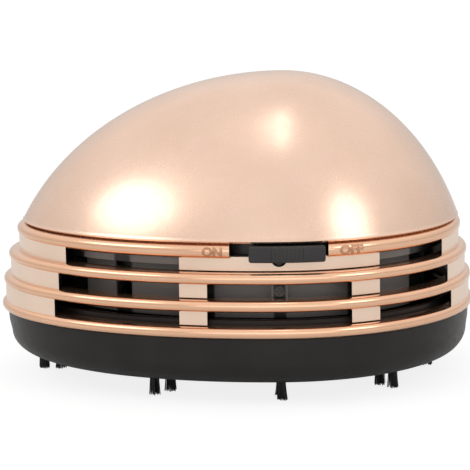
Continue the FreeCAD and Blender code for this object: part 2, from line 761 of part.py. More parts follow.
def make_motor_deck():
    plate = free_sketch("deck_outline")
    egg(plate, "skirt_nose - skirt_wall - deck_gap", "skirt_side - skirt_wall - deck_gap")
    pieces = [raised("deck_plate", plate, "deck_thick")]
    saddles = []
    bay = ("deck_thick", "deck_thick + bay_height")
    nose_wall = ("-cell_nose_end - contact_room - bay_wall", "-cell_nose_end - contact_room")
    tail_wall = ("cell_tail_end + contact_room", "cell_tail_end + contact_room + bay_wall")
    pieces.append(block("bay_nose_wall", nose_wall, ("-bay_nose_half", "bay_nose_half"), bay))
    for side, sign in BOTH_SIDES:
        near, far = f"{sign} * (cell_offset - cell_radius)", f"{sign} * (cell_offset + cell_radius)"
        span = (near, far) if sign == "1" else (far, near)
        pieces.append(block(f"bay_tail_wall_{side}", tail_wall, span, bay))
        for end, along in (("nose", "-cell_back - saddle_reach"), ("tail", "-cell_back + saddle_reach")):
            thick = (f"{along} - saddle_thick / 2", f"{along} + saddle_thick / 2")
            tall = ("deck_thick", "deck_thick + saddle_height")
            saddles.append(block(f"saddle_{side}_{end}", thick, span, tall))
    for side, sign in BOTH_ENDS:
        middle = f"{sign} * switch_screw_offset"
        width = (f"{middle} - switch_post_half", f"{middle} + switch_post_half")
        depth = ("-switch_face + switch_plate", "-switch_face + switch_depth")
        pieces.append(block(f"switch_post_{side}", width, depth,
                            ("deck_thick", "deck_thick + switch_rise + switch_height")))
    rooms = [rod(f"cell_room_{side}", "cell_radius", "2 * cell_length", "-cell_length",
                 f"{sign} * cell_offset", "cell_height - deck_under", TAIL) for side, sign in BOTH_SIDES]
    hollowed = cut("saddles_hollowed", union("saddles", saddles), union("cell_rooms", rooms))
    holes = [rod("boss_hole", "nose_boss_radius", "deck_thick + 1", z="-0.5")]
    holes += [rod(f"motor_screw_hole_{number}", "screw_radius", "deck_thick + 1", x, z="-0.5")
              for number, x in enumerate(("-motor_screw_offset", "motor_screw_offset"), start=1)]
    holes += [rod(f"deck_screw_hole_{number}", "screw_radius + hole_play", "deck_thick + 1", x, y, "-0.5")
              for number, (x, y) in enumerate(post_places(), start=1)]
    holes += [rod(f"switch_screw_hole_{number}", "front_screw_radius", "front_screw_length",
                  x, "-switch_face + front_screw_length", "switch_middle - deck_under", FRONT)
              for number, x in enumerate(("-switch_screw_offset", "switch_screw_offset"), start=1)]
    solid = union("deck_solid", pieces + [hollowed])
    keep(cut("motor_deck", solid, union("deck_holes", holes)), "motor_deck", "deck_under")


# Motor, its shaft and the fan.

def make_motor():
    bore = "shaft_radius + shaft_clearance"
    bush = "bush_radius"
    can = turned("can_form", [
        (bush, "-nose_boss_length"), ("nose_boss_radius", "-nose_boss_length"), ("nose_boss_radius", "0"),
        ("motor_radius", "0"), ("motor_radius", "motor_length"), ("motor_radius - can_wall", "motor_length"),
        ("motor_radius - can_wall", "can_wall"), (bush, "can_wall")])
    holes = [rod(f"can_hole_{number}", "screw_radius", "can_wall + 1", x, z="-0.5")
             for number, x in enumerate(("-motor_screw_offset", "motor_screw_offset"), start=1)]
    keep(cut("motor_can", can, union("can_holes", holes)), "motor_can", "deck_top")
    cap = turned("motor_end_cap", [
        (bush, "0"), ("motor_radius", "0"), ("motor_radius", "cap_height"), ("cap_boss_radius", "cap_height"),
        ("cap_boss_radius", "cap_height + cap_boss_height"), (bush, "cap_height + cap_boss_height")])
    keep(cap, "motor_end_cap", "deck_top + motor_length")
    low = turned("bush_low", [(bore, "-nose_boss_length"), (bush, "-nose_boss_length"), (bush, "can_wall"),
                              (bore, "can_wall")])
    high = turned("bush_high", [(bore, "motor_length"), (bush, "motor_length"),
                                (bush, "motor_length + cap_height + cap_boss_height"),
                                (bore, "motor_length + cap_height + cap_boss_height")])
    keep(group("motor_bushes", [low, high]), "motor_bushes", "deck_top")
    ring = turned("magnet_ring", [
        ("magnet_radius", "magnet_low"), ("motor_radius - can_wall", "magnet_low"),
        ("motor_radius - can_wall", "magnet_high"), ("magnet_radius", "magnet_high")])
    gap = block("magnet_gap", ("-magnet_gap_half", "magnet_gap_half"), ("-motor_radius", "motor_radius"),
                ("0", "motor_length"))
    keep(cut("motor_magnets", ring, gap), "motor_magnets", "deck_top")
    tabs = []
    for side, sign in BOTH_ENDS:
        middle = f"{sign} * terminal_offset"
        tabs.append(block(f"terminal_{side}", (f"{middle} - terminal_half", f"{middle} + terminal_half"),
                          ("-terminal_thick / 2", "terminal_thick / 2"), ("0", "terminal_height")))
    keep(group("motor_terminals", tabs), "motor_terminals", "deck_top + motor_length + cap_height")
    armature = turned("armature", [
        ("shaft_radius", "armature_low"), ("armature_radius", "armature_low"),
        ("armature_radius", "armature_high"), ("commutator_radius", "armature_high"),
        ("commutator_radius", "armature_high + commutator_height"),
        ("shaft_radius", "armature_high + commutator_height")])
    keep(armature, "armature", "deck_top")
    shaft_top = "deck_top + motor_length + cap_height + cap_boss_height + shaft_end"
    keep(rod("motor_shaft", "shaft_radius", f"{shaft_top} - fan_foot"), "motor_shaft", "fan_foot")


def make_impeller():
    body = turned("impeller", [
        ("shaft_radius", "0"), ("hub_radius", "0"), ("hub_radius", "blade_height"),
        ("fan_radius", "blade_height"), ("fan_radius", "blade_height + fan_disc"),
        ("shaft_radius", "blade_height + fan_disc")])
    blade = sketch(body, "blade")
    rectangle(blade, "hub_radius - blade_thick / 2", "fan_radius - blade_inset",
              "-blade_thick / 2", "blade_thick / 2")
    raised_blade = pad(body, blade, "blade_height + fan_disc / 2", "blade_pad")
    ring = body.newObject("PartDesign::PolarPattern", "blades")
    ring.Originals = [raised_blade]
    ring.Axis = (blade, ["N_Axis"])
    ring.Angle = 360
    bind(ring, Occurrences="fan_blades")
    body.Tip = ring
    keep(body, "impeller", "fan_foot")


# Filter: a ring with a mesh disc, pressed on the tub's underside round the fan's inlet.

def make_filter():
    inner = "filter_radius - filter_ring"
    frame = turned("filter_frame", [(inner, "-filter_height"), ("filter_radius", "-filter_height"),
                                    ("filter_radius", "0"), (inner, "0")])
    keep(frame, "filter_frame", "tub_floor")
    mesh = rod("filter_mesh", inner, "mesh_thick")
    keep(mesh, "filter_mesh", "tub_floor - filter_height / 2 - mesh_thick / 2")


# The two cells, flanking the motor, and their contacts.

def make_cells():
    height = "cell_height"
    for label, sign, start, way in (("cell_front", "-1", "-cell_nose_end", TAIL),
                                    ("cell_rear", "1", "cell_tail_end", NOSE)):
        y = f"{sign} * cell_offset"
        can = rod(f"{label}_can", "cell_radius", "cell_length - cell_nub", start, toward=way)
        tip = f"{start} {'+' if way == TAIL else '-'} (cell_length - cell_nub)"
        nub = rod(f"{label}_nub", "cell_nub_radius", "cell_nub", tip, toward=way)
        keep(union(label, [can, nub]), label, height, "0", y)

    plate_height = ("-plate_half", "plate_half")
    nose_face = "-cell_nose_end - contact_room"
    link = block("link_plate", (nose_face, f"{nose_face} + contact_thick"),
                 ("-cell_offset - plate_half", "cell_offset + plate_half"), plate_height)
    dimple = rod("link_dimple", "dimple_radius", "contact_room - contact_thick / 2",
                 f"{nose_face} + contact_thick / 2", "cell_offset", toward=TAIL)
    keep(union("contact_link", [link, dimple]), "contact_link", height)
    tail_face = "cell_tail_end + contact_room"
    plates = (("contact_plus", "-1", "contact_room"), ("contact_minus", "1", "contact_thick"))
    for label, sign, reach in plates:
        plate = block(f"{label}_plate", (f"{tail_face} - contact_thick", tail_face),
                      ("-plate_half", "plate_half"), plate_height)
        middle = rod(f"{label}_middle", "dimple_radius", reach, f"{tail_face} - {reach}", toward=TAIL)
        keep(union(label, [plate, middle]), label, height, "0", f"{sign} * cell_offset")
    spring_length = "contact_room - contact_thick"
    springs = (("spring_nose", "-1", f"{nose_face} + contact_thick"), ("spring_tail", "1", "cell_tail_end"))
    for label, sign, start in springs:
        tube = cut(label, rod(f"{label}_outside", "spring_radius", spring_length, toward=TAIL),
                   rod(f"{label}_inside", "spring_radius - spring_wire", spring_length, toward=TAIL))
        keep(tube, label, height, start, f"{sign} * cell_offset")


# Slide switch behind the slot, worked by the knob that runs round the band.

def arc_block(name, outer, inner, half, low, high):
    """A piece of a ring about the dome's axis, at the front, between two heights."""
    tube = cut(f"{name}_tube", rod(f"{name}_outer", outer, f"({high}) - ({low})", z=low),
               rod(f"{name}_inner", inner, f"({high}) - ({low})", z=low))
    span = block(f"{name}_span", (f"-({half})", half), FRONT_HALF, (low, high))
    return common(f"{name}_arc", tube, span)


def make_switch():
    low, high = "carrier_low", "carrier_high"
    strip = arc_block("carrier", "carrier_radius", "carrier_radius - carrier_wall", "carrier_half_width",
                      low, high)
    fork = block("carrier_fork", ("-lever_width / 2 - fork_gap", "lever_width / 2 + fork_gap"),
                 FRONT_HALF, ("switch_middle - lever_height / 2 - fork_gap", f"{high} + 1"))
    carrier = keep(cut("switch_carrier", strip, fork), "switch_carrier")
    cap = arc_block("knob_cap", "knob_radius", "knob_radius - knob_cap", "knob_width / 2",
                    "band_bottom + slot_floor - knob_skirt", "seam - knob_top_gap")
    stem = arc_block("knob_stem", "knob_radius - knob_cap / 2", "carrier_radius",
                     "knob_width / 2 - knob_stem_gap", "band_bottom + slot_floor + knob_stem_gap",
                     "seam - knob_top_gap - knob_stem_gap / 2")
    doc.recompute()
    face_radius, round_off = size("knob_radius"), size("knob_edge")
    soft = add("Part::Fillet", "knob_soft_cap")
    soft.Base = cap
    soft.Edges = [(number, round_off, round_off) for number, edge in enumerate(cap.Shape.Edges, start=1)
                  if all(abs(math.hypot(end.X, end.Y) - face_radius) < 0.01 for end in edge.Vertexes)]
    knob = keep(union("switch_knob", [soft, stem]), "switch_knob")
    for piece in (carrier, knob):
        bind(piece, Placement__Rotation__Angle="rest_turn")

    face, rest = "-switch_face", "lever_engage * sin(rest_turn)"
    lever = bind(add("Part::Box", "switch_lever"), Length="lever_width", Width="lever_reach + lever_hold",
                 Height="lever_height")
    keep(lever, "switch_lever", "switch_middle - lever_height / 2", f"{rest} - lever_width / 2",
         f"{face} - lever_reach")
    heights = ("-switch_height / 2", "switch_height / 2")
    housing = block("switch_housing", ("-switch_half_width", "switch_half_width"),
                    (face, f"{face} + switch_depth"), heights)
    plate = block("switch_plate_solid", ("-switch_flange_half", "switch_flange_half"),
                  (face, f"{face} + switch_plate"), heights)
    reach = "lever_engage * sin(rest_turn) + lever_width / 2 + fork_gap"
    room = block("lever_room", (f"-({reach})", reach), (f"{face} - 1", f"{face} + lever_hold + fork_gap"),
                 ("-lever_height / 2 - fork_gap", "lever_height / 2 + fork_gap"))
    holes = [rod(f"switch_hole_{side}", "front_screw_radius", "2 * switch_plate",
                 f"{sign} * switch_screw_offset", "-switch_face + 1.5 * switch_plate", toward=FRONT)
             for side, sign in BOTH_ENDS]
    openings = union("switch_openings", [room] + holes)
    keep(cut("switch_body", union("switch_solid", [housing, plate]), openings), "switch_body", "switch_middle")


# Screws, each kind one group.

LARGE_SCREW = ("screw_radius", "screw_head_radius")
SMALL_SCREW = ("front_screw_radius", "front_screw_head")


def cross_bars(name, x, y, head, toward):
    """Two crossed bars that cut the recess into the outer half of a head."""
    arm, half = f"{head} * cross_arm", f"{head} * cross_half"
    near, far = "screw_head_height / 2", "screw_head_height + 1"
    long_x, short_x = (f"{x} - {arm}", f"{x} + {arm}"), (f"{x} - {half}", f"{x} + {half}")
    if toward == FRONT:
        depth = (f"{y} - ({far})", f"{y} - {near}")
        return [block(f"{name}_bar_a", long_x, depth, (f"-{half}", half)),
                block(f"{name}_bar_b", short_x, depth, (f"-{arm}", arm))]
    depth = (near, far) if toward == UP else (f"-({far})", f"-{near}")
    return [block(f"{name}_bar_a", long_x, (f"{y} - {half}", f"{y} + {half}"), depth),
            block(f"{name}_bar_b", short_x, (f"{y} - {arm}", f"{y} + {arm}"), depth)]


def screws(label, places, level, kind, length, toward=UP):
    """Screws whose heads stand on the places towards one side, and whose shanks run the other way."""
    radius, head = kind
    pieces = []
    for number, (x, y) in enumerate(places, start=1):
        name = f"{label}_{number}"
        whole = union(f"{name}_solid", [rod(f"{name}_head", head, "screw_head_height", x, y, toward=toward),
                                        rod(f"{name}_shank", radius, length, x, y, toward=toward * -1)])
        pieces.append(cut(name, whole, union(f"{name}_recess", cross_bars(name, x, y, head, toward))))
    keep(group(label, pieces) if len(pieces) > 1 else pieces[0], label, level)


def make_screws():
    screws("chassis_screws", screw_places(), "band_bottom + flange_level", LARGE_SCREW,
           "flange_thick + lug_bite")
    screws("deck_screws", post_places(), "deck_top", LARGE_SCREW,
           "deck_thick + post_hole_depth - post_hole_spare")
    screws("motor_screws", [(f"{sign} * motor_screw_offset", "0") for _, sign in BOTH_ENDS], "deck_under",
           LARGE_SCREW, "deck_thick + can_wall", DOWN)
    screws("front_screw", [("0", "-skirt_side - boss_reach")], "tub_floor + (boss_low + boss_high) / 2",
           SMALL_SCREW, "front_screw_length", FRONT)
    screws("switch_screws", [(f"{sign} * switch_screw_offset", "-switch_face") for _, sign in BOTH_ENDS],
           "switch_middle", SMALL_SCREW, "front_screw_length", FRONT)


# Wires inside the dome: straight runs joined by tangent arcs.

def wire_points():
    """The corners of each wire's route, from one terminal to the other."""
    plate_x = size("cell_tail_end") + size("contact_room") - size("contact_thick") / 2
    plate_top = size("cell_height") + size("plate_half")
    switch_top = size("switch_middle") + size("switch_height") / 2
    switch_y = -size("switch_face") + size("switch_depth") / 2
    tab_x = size("terminal_offset")
    tab_z = size("deck_top") + size("motor_length") + size("cap_height") + size("terminal_height") / 2
    tab_face = size("terminal_thick") / 2
    cell_y = size("cell_offset")
    cell_top = size("cell_height") + size("cell_radius")
    return {
        "wire_red": [(plate_x, -cell_y + 4, plate_top), (plate_x, -cell_y + 4, cell_top + 2),
                     (plate_x - 9, -cell_y - 3.5, cell_top + 3), (4, switch_y, cell_top - 1.5),
                     (4, switch_y, switch_top)],
        "wire_yellow": [(-4, switch_y, switch_top), (-4, switch_y, cell_top), (-6, -cell_y - 1.5, tab_z - 6),
                        (-tab_x, -9, tab_z), (-tab_x, -tab_face, tab_z)],
        "wire_black": [(plate_x, cell_y - 4, plate_top), (plate_x, cell_y - 4, cell_top + 2),
                       (plate_x - 6, cell_y - 5.5, tab_z - 3.5), (tab_x, 9.5, tab_z),
                       (tab_x, tab_face, tab_z)],
    }


def tube(points, radius):
    """A round wire along straight runs, each corner rounded as far as its shorter run allows."""
    places = [Vector(*point) for point in points]
    edges = []
    radii = []
    start = places[0]
    for before, corner, after in zip(places, places[1:], places[2:]):
        inward = (before - corner).normalize()
        outward = (after - corner).normalize()
        half_turn = (math.pi - inward.getAngle(outward)) / 2
        setback = 0.45 * min((before - corner).Length, (after - corner).Length)
        bend = setback / math.tan(half_turn)
        radii.append(round(bend, 1))
        first, last = corner + inward * setback, corner + outward * setback
        bisector = (inward + outward).normalize()
        middle = corner + bisector * (bend / math.cos(half_turn) - bend)
        edges.append(Part.LineSegment(start, first).toShape())
        edges.append(Part.Arc(first, middle, last).toShape())
        start = last
    edges.append(Part.LineSegment(start, places[-1]).toShape())
    path = Part.Wire(edges)
    section = Part.Wire([Part.Circle(places[0], places[1] - places[0], radius).toShape()])
    solid = path.makePipeShell([section], True, True)
    volume_share = solid.Volume / (math.pi * radius ** 2 * path.Length)
    print("wire length", round(path.Length, 1), "bend radii", radii, "volume share", round(volume_share, 4))
    return solid


def make_wires():
    for label, points in wire_points().items():
        item = add("Part::Feature", label)
        item.Shape = tube(points, size("wire_radius"))
        keep(item, label)


def make_all():
    make_base_tray()
    make_mouth_duct()
    make_tufts()
    make_rib_band()
    make_dome_cover()
    make_chassis_tub()
    make_motor_deck()
    make_motor()
    make_impeller()
    make_filter()
    make_cells()
    make_switch()
    make_screws()
    make_wires()


make_all()
doc.recompute()

faults = [f"{item.Name}: {item.State}" for item in doc.Objects if {"Invalid", "Error"} & set(item.State)]
faults += [f"{item.Label}: no valid shape" for item in SUB_PARTS
           if item.Shape.isNull() or not item.Shape.isValid()]
for item in SUB_PARTS:
    if not item.Shape.isNull():
        print(item.Label, len(item.Shape.Solids), "solid, mm3:", round(item.Shape.Volume, 1))
if faults:
    raise SystemExit("not written: " + "; ".join(faults))
os.makedirs("parts", exist_ok=True)
for item in SUB_PARTS:
    item.Shape.exportStep(f"parts/{item.Label}.step")
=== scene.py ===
# %% [markdown]
# A desk vacuum cleaner, dressed step by step. The real one is an egg-shaped dome of lacquered
# plastic on a band of four bright ribs, over a dark dust tray that stands on tufts of bristles.
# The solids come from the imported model, which is the fixed frame of this lesson. What shows most is
# made again here as smooth surfaces worked out with numpy, and everything gets its finish.

import json
import math

import bpy
import numpy as np
from mathutils import Matrix, Vector

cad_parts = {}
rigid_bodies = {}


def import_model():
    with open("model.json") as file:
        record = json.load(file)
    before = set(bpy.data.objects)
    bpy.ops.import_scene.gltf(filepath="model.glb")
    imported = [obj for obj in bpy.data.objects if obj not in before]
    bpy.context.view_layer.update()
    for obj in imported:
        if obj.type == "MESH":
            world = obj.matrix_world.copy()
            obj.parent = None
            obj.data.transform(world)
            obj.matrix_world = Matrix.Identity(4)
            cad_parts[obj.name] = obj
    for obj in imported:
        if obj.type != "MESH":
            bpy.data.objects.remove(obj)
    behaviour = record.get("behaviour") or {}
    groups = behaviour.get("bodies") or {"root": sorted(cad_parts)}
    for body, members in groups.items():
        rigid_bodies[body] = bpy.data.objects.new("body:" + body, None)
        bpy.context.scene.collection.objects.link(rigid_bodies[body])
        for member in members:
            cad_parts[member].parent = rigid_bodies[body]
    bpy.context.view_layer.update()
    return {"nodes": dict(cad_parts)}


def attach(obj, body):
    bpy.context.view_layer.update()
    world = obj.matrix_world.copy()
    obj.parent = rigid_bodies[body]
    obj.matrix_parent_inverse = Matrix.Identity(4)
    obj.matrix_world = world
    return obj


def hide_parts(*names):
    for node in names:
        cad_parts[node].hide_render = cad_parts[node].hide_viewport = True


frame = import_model()
nodes = frame["nodes"]

# %% [markdown]
# All sizes below are millimetres, as on the drawing of the real object, and one factor turns them
# into Blender's metres. The dome's upright axis doesn't stand in the middle of the length, because
# the nose is longer than the round tail, so that distance is needed everywhere.

# %% Sizes of the object
MM = 0.001
AXIS_X = 11.5
SIDE = 46.0
NOSE = 69.0
STRETCH = NOSE / SIDE
FLOOR_OF_BASE = 5.0
BAND_FOOT = 16.2
SEAM = 37.45
RIB_MIDDLES = (1.3, 7.4, 13.5, 19.6)
RIB_HEIGHTS = (2.6, 2.6, 2.6, 3.3)
ENVELOPE = 57.0
WALL_RECESS = 1.9
END_RECESS = 0.4
BAND_DEPTH = 3.8
SUNK = 0.3
FOOT_LINE = 0.25


def share(height):
    """How far out the band's envelope stands at a height: the square root of 1 - (height / 57)^2."""
    return np.sqrt(1 - (np.asarray(height, float) / ENVELOPE) ** 2)


THROAT = float(SIDE * share(RIB_MIDDLES[3]) - BAND_DEPTH)
FOOT = float(SIDE * share(RIB_MIDDLES[0]) - BAND_DEPTH)
print("inner side of the band: foot", round(FOOT, 2), "top", round(THROAT, 2))

# %% [markdown]
# The camera stands where the photographer's stood. Its place, tilt and lens were worked out from the
# outlines in the photograph, so the render can be laid over it. A long lens from half a metre away
# keeps the ribs nearly parallel.

# %% Camera
LENS, SENSOR = 165.04, 36
CAMERA_PLACE = (0.0225, -0.5198, 0.1181)
PAN, TILT, ROLL = -0.0435, 0.1625, -0.0174


def look(pan, tilt, roll):
    """The camera's three axes from a pan about the upright, a tilt down and a small roll."""
    ahead = Vector((math.cos(tilt) * math.sin(pan), math.cos(tilt) * math.cos(pan), -math.sin(tilt)))
    right = Vector((math.cos(pan), -math.sin(pan), 0))
    up = right.cross(ahead)
    across = right * math.cos(roll) + up * math.sin(roll)
    upward = up * math.cos(roll) - right * math.sin(roll)
    return Matrix((across, upward, -ahead)).transposed()


camera_data = bpy.data.cameras.new("camera")
camera_data.lens = LENS
camera_data.sensor_width = SENSOR
camera_data.clip_start = 0.01
camera = bpy.data.objects.new("camera", camera_data)
camera.matrix_world = Matrix.Translation(CAMERA_PLACE) @ look(PAN, TILT, ROLL).to_4x4()
bpy.context.scene.collection.objects.link(camera)
bpy.context.scene.camera = camera
print("camera at", tuple(round(c, 4) for c in camera.location))

# %% [markdown]
# Nearly every outer piece here follows one plan line, an egg: a half circle at the tail, and half an
# ellipse drawn out at the nose. So one helper gives a point of that line from an angle, and a piece
# is a small profile carried round it. That is exact, smooth at any size, and needs no modelling by
# hand. The same grid is closed on itself for a ring, or gets two end faces for a piece of a ring.

# %% Surfaces from a profile carried round the egg
def egg_point(angle, side, nose):
    """From the axis: x = reach * cos(angle), with the nose's reach if x < 0; y = side * sin(angle)."""
    cosine = np.cos(angle)
    return AXIS_X + np.where(cosine < 0, nose, side) * cosine, side * np.sin(angle)


def angle_at(x, side, nose, front):
    """The angle at which the egg line passes x: minus the arc cosine at the front, plus it at the rear."""
    angle = np.arccos(np.clip(x / np.where(x < 0, nose, side), -1, 1))
    return -angle if front else angle


def carried(profile, start, end, steps):
    """Profile rows (side, nose, z) carried from one angle to the other in equal steps: a grid of points."""
    side, nose, z = (np.asarray(column, float) for column in profile)
    share_of_way = np.linspace(0, 1, steps)[:, None]
    angle = start + share_of_way * (np.asarray(end) - start)
    x, y = egg_point(angle, side[None, :], nose[None, :])
    return np.stack([x, y, np.broadcast_to(z[None, :], x.shape)], axis=-1)


def faces_of_grid(rows, columns, ring, first=0):
    """Quads between neighbours of a grid whose columns close on themselves; rows close too in a ring."""
    i, j = np.meshgrid(np.arange(rows if ring else rows - 1), np.arange(columns), indexing="ij")
    near, far = i * columns, ((i + 1) % rows) * columns
    quads = np.stack([near + j, far + j, far + (j + 1) % columns, near + (j + 1) % columns], axis=-1)
    faces = (quads.reshape(-1, 4) + first).tolist()
    if not ring:
        faces.append(list(range(first, first + columns)))
        faces.append(list(range(first + rows * columns - 1, first + (rows - 1) * columns - 1, -1)))
    return faces


def make_piece(name, shells, body, stands_for=(), smooth_below=35.0):
    """One object from closed shells (grid of points in mm, ring or not), all faces outward."""
    points, faces = [], []
    for grid, ring in shells:
        first = sum(len(part) for part in points)
        rows, columns = grid.shape[:2]
        faces += faces_of_grid(rows, columns, ring, first)
        points.append(grid.reshape(-1, 3))
    mesh = bpy.data.meshes.new(name)
    mesh.from_pydata((np.concatenate(points) * MM).tolist(), [], faces)
    tidy_mesh(mesh, smooth_below)
    piece = bpy.data.objects.new(name, mesh)
    bpy.context.scene.collection.objects.link(piece)
    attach(piece, body)
    if stands_for:
        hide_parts(*stands_for)
    print(name, len(mesh.polygons), "faces")
    return piece


def tidy_mesh(mesh, smooth_below=35.0):
    """Merges doubled points, turns all faces outward and keeps edges sharper than an angle crisp."""
    import bmesh
    work = bmesh.new()
    work.from_mesh(mesh)
    bmesh.ops.remove_doubles(work, verts=work.verts, dist=1e-6)
    bmesh.ops.dissolve_degenerate(work, edges=work.edges, dist=1e-7)
    bmesh.ops.recalc_face_normals(work, faces=work.faces)
    for edge in work.edges:
        edge.smooth = len(edge.link_faces) == 2 and edge.calc_face_angle(0) < math.radians(smooth_below)
    for face in work.faces:
        face.smooth = True
    work.to_mesh(mesh)
    work.free()


ROUND = 432
FULL = 2 * math.pi * (1 - 1 / ROUND)
print("a ring has", ROUND, "steps of", round(360 / ROUND, 2), "degrees")

# %% [markdown]
# The dome is a thin shell: half of two half ellipsoids that meet over the axis, 58 mm high. It sits
# in the band by a ledge and a thin spigot, and a hair's breadth is left open above the band, which
# gives the dark line in the photograph. Its profile goes up the outside, over the top, down the
# inside, along the ledge and round the spigot, and is carried once round.

# %% Dome cover
DOME_NOSE, DOME_SIDE, DOME_RISE, DOME_WALL = 69.0, 46.5, 58.2, 2.2
DOME_CENTRE = BAND_FOOT - 1.5
SEAM_GAP = 0.35
LEDGE_RISE, LEDGE_REACH = 2.0, 1.9
SPIGOT_GAP, SPIGOT_WALL, SPIGOT_DEPTH, SPIGOT_RISE = 0.3, 1.2, 1.9, 0.3
SWITCH_ROOM = 16.6


def dome_rows(lowest, wall, steps, upward=True):
    """Rows of the shell: side and nose shrink as the square root of 1 - (height / rise)^2."""
    start = math.asin((lowest - DOME_CENTRE) / (DOME_RISE - wall))
    lift = np.linspace(start, math.pi / 2, steps)
    if not upward:
        lift = lift[::-1]
    z = DOME_CENTRE + (DOME_RISE - wall) * np.sin(lift)
    return (DOME_SIDE - wall) * np.cos(lift), (DOME_NOSE - wall) * np.cos(lift), z


def joined(*rows):
    """Several sets of rows end to end, as one profile."""
    return [np.concatenate(columns) for columns in zip(*rows)]


def egg_rows(pairs):
    """Rows for corners given as (side, z), whose nose keeps the plan's proportion."""
    side, z = np.array(pairs, float).T
    return side, side * STRETCH, z


outside = dome_rows(SEAM + SEAM_GAP, 0, 120)
inside = dome_rows(SEAM + LEDGE_RISE, DOME_WALL, 60, upward=False)
spigot_outer = THROAT - SPIGOT_GAP
spigot_inner = spigot_outer - SPIGOT_WALL
ledge = egg_rows([(spigot_inner, SEAM + LEDGE_RISE), (spigot_inner, SEAM),
                  (spigot_outer + LEDGE_REACH, SEAM)])
edge_radius = 0.3
lip_insets = np.array([1.4, edge_radius])
lip = (outside[0][0] - lip_insets, outside[1][0] - lip_insets, np.full(2, SEAM + SEAM_GAP))
outside[2][0] += edge_radius
profile = joined(outside, inside, ledge, lip)
spigot_top, spigot_foot = SEAM + SPIGOT_RISE, SEAM - SPIGOT_DEPTH
spigot = egg_rows([(spigot_inner, spigot_top), (spigot_inner, spigot_foot),
                   (spigot_outer, spigot_foot), (spigot_outer, spigot_top)])
spigot_start = angle_at(SWITCH_ROOM, spigot[0], spigot[1], True)
spigot_end = 2 * math.pi + angle_at(-SWITCH_ROOM, spigot[0], spigot[1], True)
spigot_grid = carried(spigot, spigot_start, spigot_end, 200)
dome_shells = [(carried(profile, 0, FULL, ROUND), True), (spigot_grid, False)]
dome = make_piece("dome", dome_shells, "dome", ["dome_cover"])

# %% [markdown]
# Each rib is a flat ring with a rounded outer edge. Between the ribs, walls close the nose and the
# tail nearly flush with the rib above, and two narrow pillars stand further back at the front and the
# rear, with a fine dark line under each. A wall ends along a plane across the object, not along a
# ray, so its two end angles are worked out for each row of the profile. The top rib is open at the
# front, where the switch sits.

# %% Rib band
RIB_FLAT = 0.1


def inner_side(z):
    """The band's inner face leans: from the foot's side at z = 0 to the throat's at the seam."""
    return FOOT + (THROAT - FOOT) * np.asarray(z, float) / (SEAM - BAND_FOOT)


def rib_profile(number):
    """A strip with a rounded nose: half a circle about the rib's middle, then its two inner corners."""
    middle, height = RIB_MIDDLES[number], RIB_HEIGHTS[number]
    radius = (height - RIB_FLAT) / 2
    reach = SIDE * share(middle)
    turn = np.radians(np.linspace(-90, 90, 15))
    low = turn <= 0
    side = reach - radius + radius * np.cos(turn)
    z = middle + np.where(low, -RIB_FLAT / 2, RIB_FLAT / 2) + radius * np.sin(turn)
    side = np.concatenate([[inner_side(middle - height / 2)], side, [inner_side(middle + height / 2)]])
    z = np.concatenate([[middle - height / 2], z, [middle + height / 2]])
    return side, side * STRETCH, z + BAND_FOOT


def wall_profile(gap, at_end=False):
    """The wall over rib number gap: four corners, sunk into the ribs; a pillar clears the rib below."""
    low = RIB_MIDDLES[gap] + RIB_HEIGHTS[gap] / 2 + (-SUNK if at_end else FOOT_LINE)
    high = RIB_MIDDLES[gap + 1] - RIB_HEIGHTS[gap + 1] / 2 + SUNK
    reach = SIDE * share(RIB_MIDDLES[gap + 1])
    face = reach - (END_RECESS if at_end else WALL_RECESS)
    side, nose, z = egg_rows([(inner_side(low), low + BAND_FOOT), (face, low + BAND_FOOT),
                              (face, high + BAND_FOOT), (inner_side(high), high + BAND_FOOT)])
    if at_end:
        nose[1:3] = reach * STRETCH - END_RECESS
        z[2] += RIB_HEIGHTS[gap + 1] / 2
    return side, nose, z


def wall_between(gap, left, right, front, steps=24):
    """A recessed wall from one x to another, on the front or the rear."""
    side, nose, z = wall_profile(gap)
    start, end = angle_at(left, side, nose, front), angle_at(right, side, nose, front)
    return carried((side, nose, z), start, end, steps), False


def wall_round_end(gap, x_front, x_rear, nose_end, steps=90):
    """A wall that wraps round the nose or the tail, from one x at the front to another at the rear."""
    side, nose, z = wall_profile(gap, True)
    front, rear = angle_at(x_front, side, nose, True), angle_at(x_rear, side, nose, False)
    start, end = (rear, front + 2 * math.pi) if nose_end else (front, rear)
    return carried((side, nose, z), start, end, steps), False


PILLAR = (16.4, 22.8)
NOSE_SHARE, TAIL_SHARE, REAR_SHARE, SLOT = 0.772, 0.874, 0.8, 11.2
band_shells = []
for number in range(3):
    band_shells.append((carried(rib_profile(number), 0, FULL, ROUND), True))
side, nose, z = rib_profile(3)
slot_start, slot_end = angle_at(SLOT, side, nose, True), 2 * math.pi + angle_at(-SLOT, side, nose, True)
band_shells.append((carried((side, nose, z), slot_start, slot_end, 420), False))
for gap in range(3):
    reach = SIDE * share(RIB_MIDDLES[gap + 1])
    nose_x = -reach * STRETCH * NOSE_SHARE
    band_shells.append(wall_round_end(gap, nose_x, nose_x, True))
    band_shells.append(wall_round_end(gap, reach * TAIL_SHARE, reach * REAR_SHARE, False))
    for front in (True, False):
        if gap == 2 and front:
            continue
        band_shells.append(wall_between(gap, -PILLAR[1], -PILLAR[0], front))
        band_shells.append(wall_between(gap, PILLAR[0], PILLAR[1], front))
band = make_piece("ribs", band_shells, "upper", ["rib_band"])

# %% [markdown]
# Between the two upper ribs the front is closed by a plate, with a half-round notch under the slot.
# The notch is cut with a Boolean, applied at once: the plate is a separate closed shell, so nothing
# else can be harmed by it.

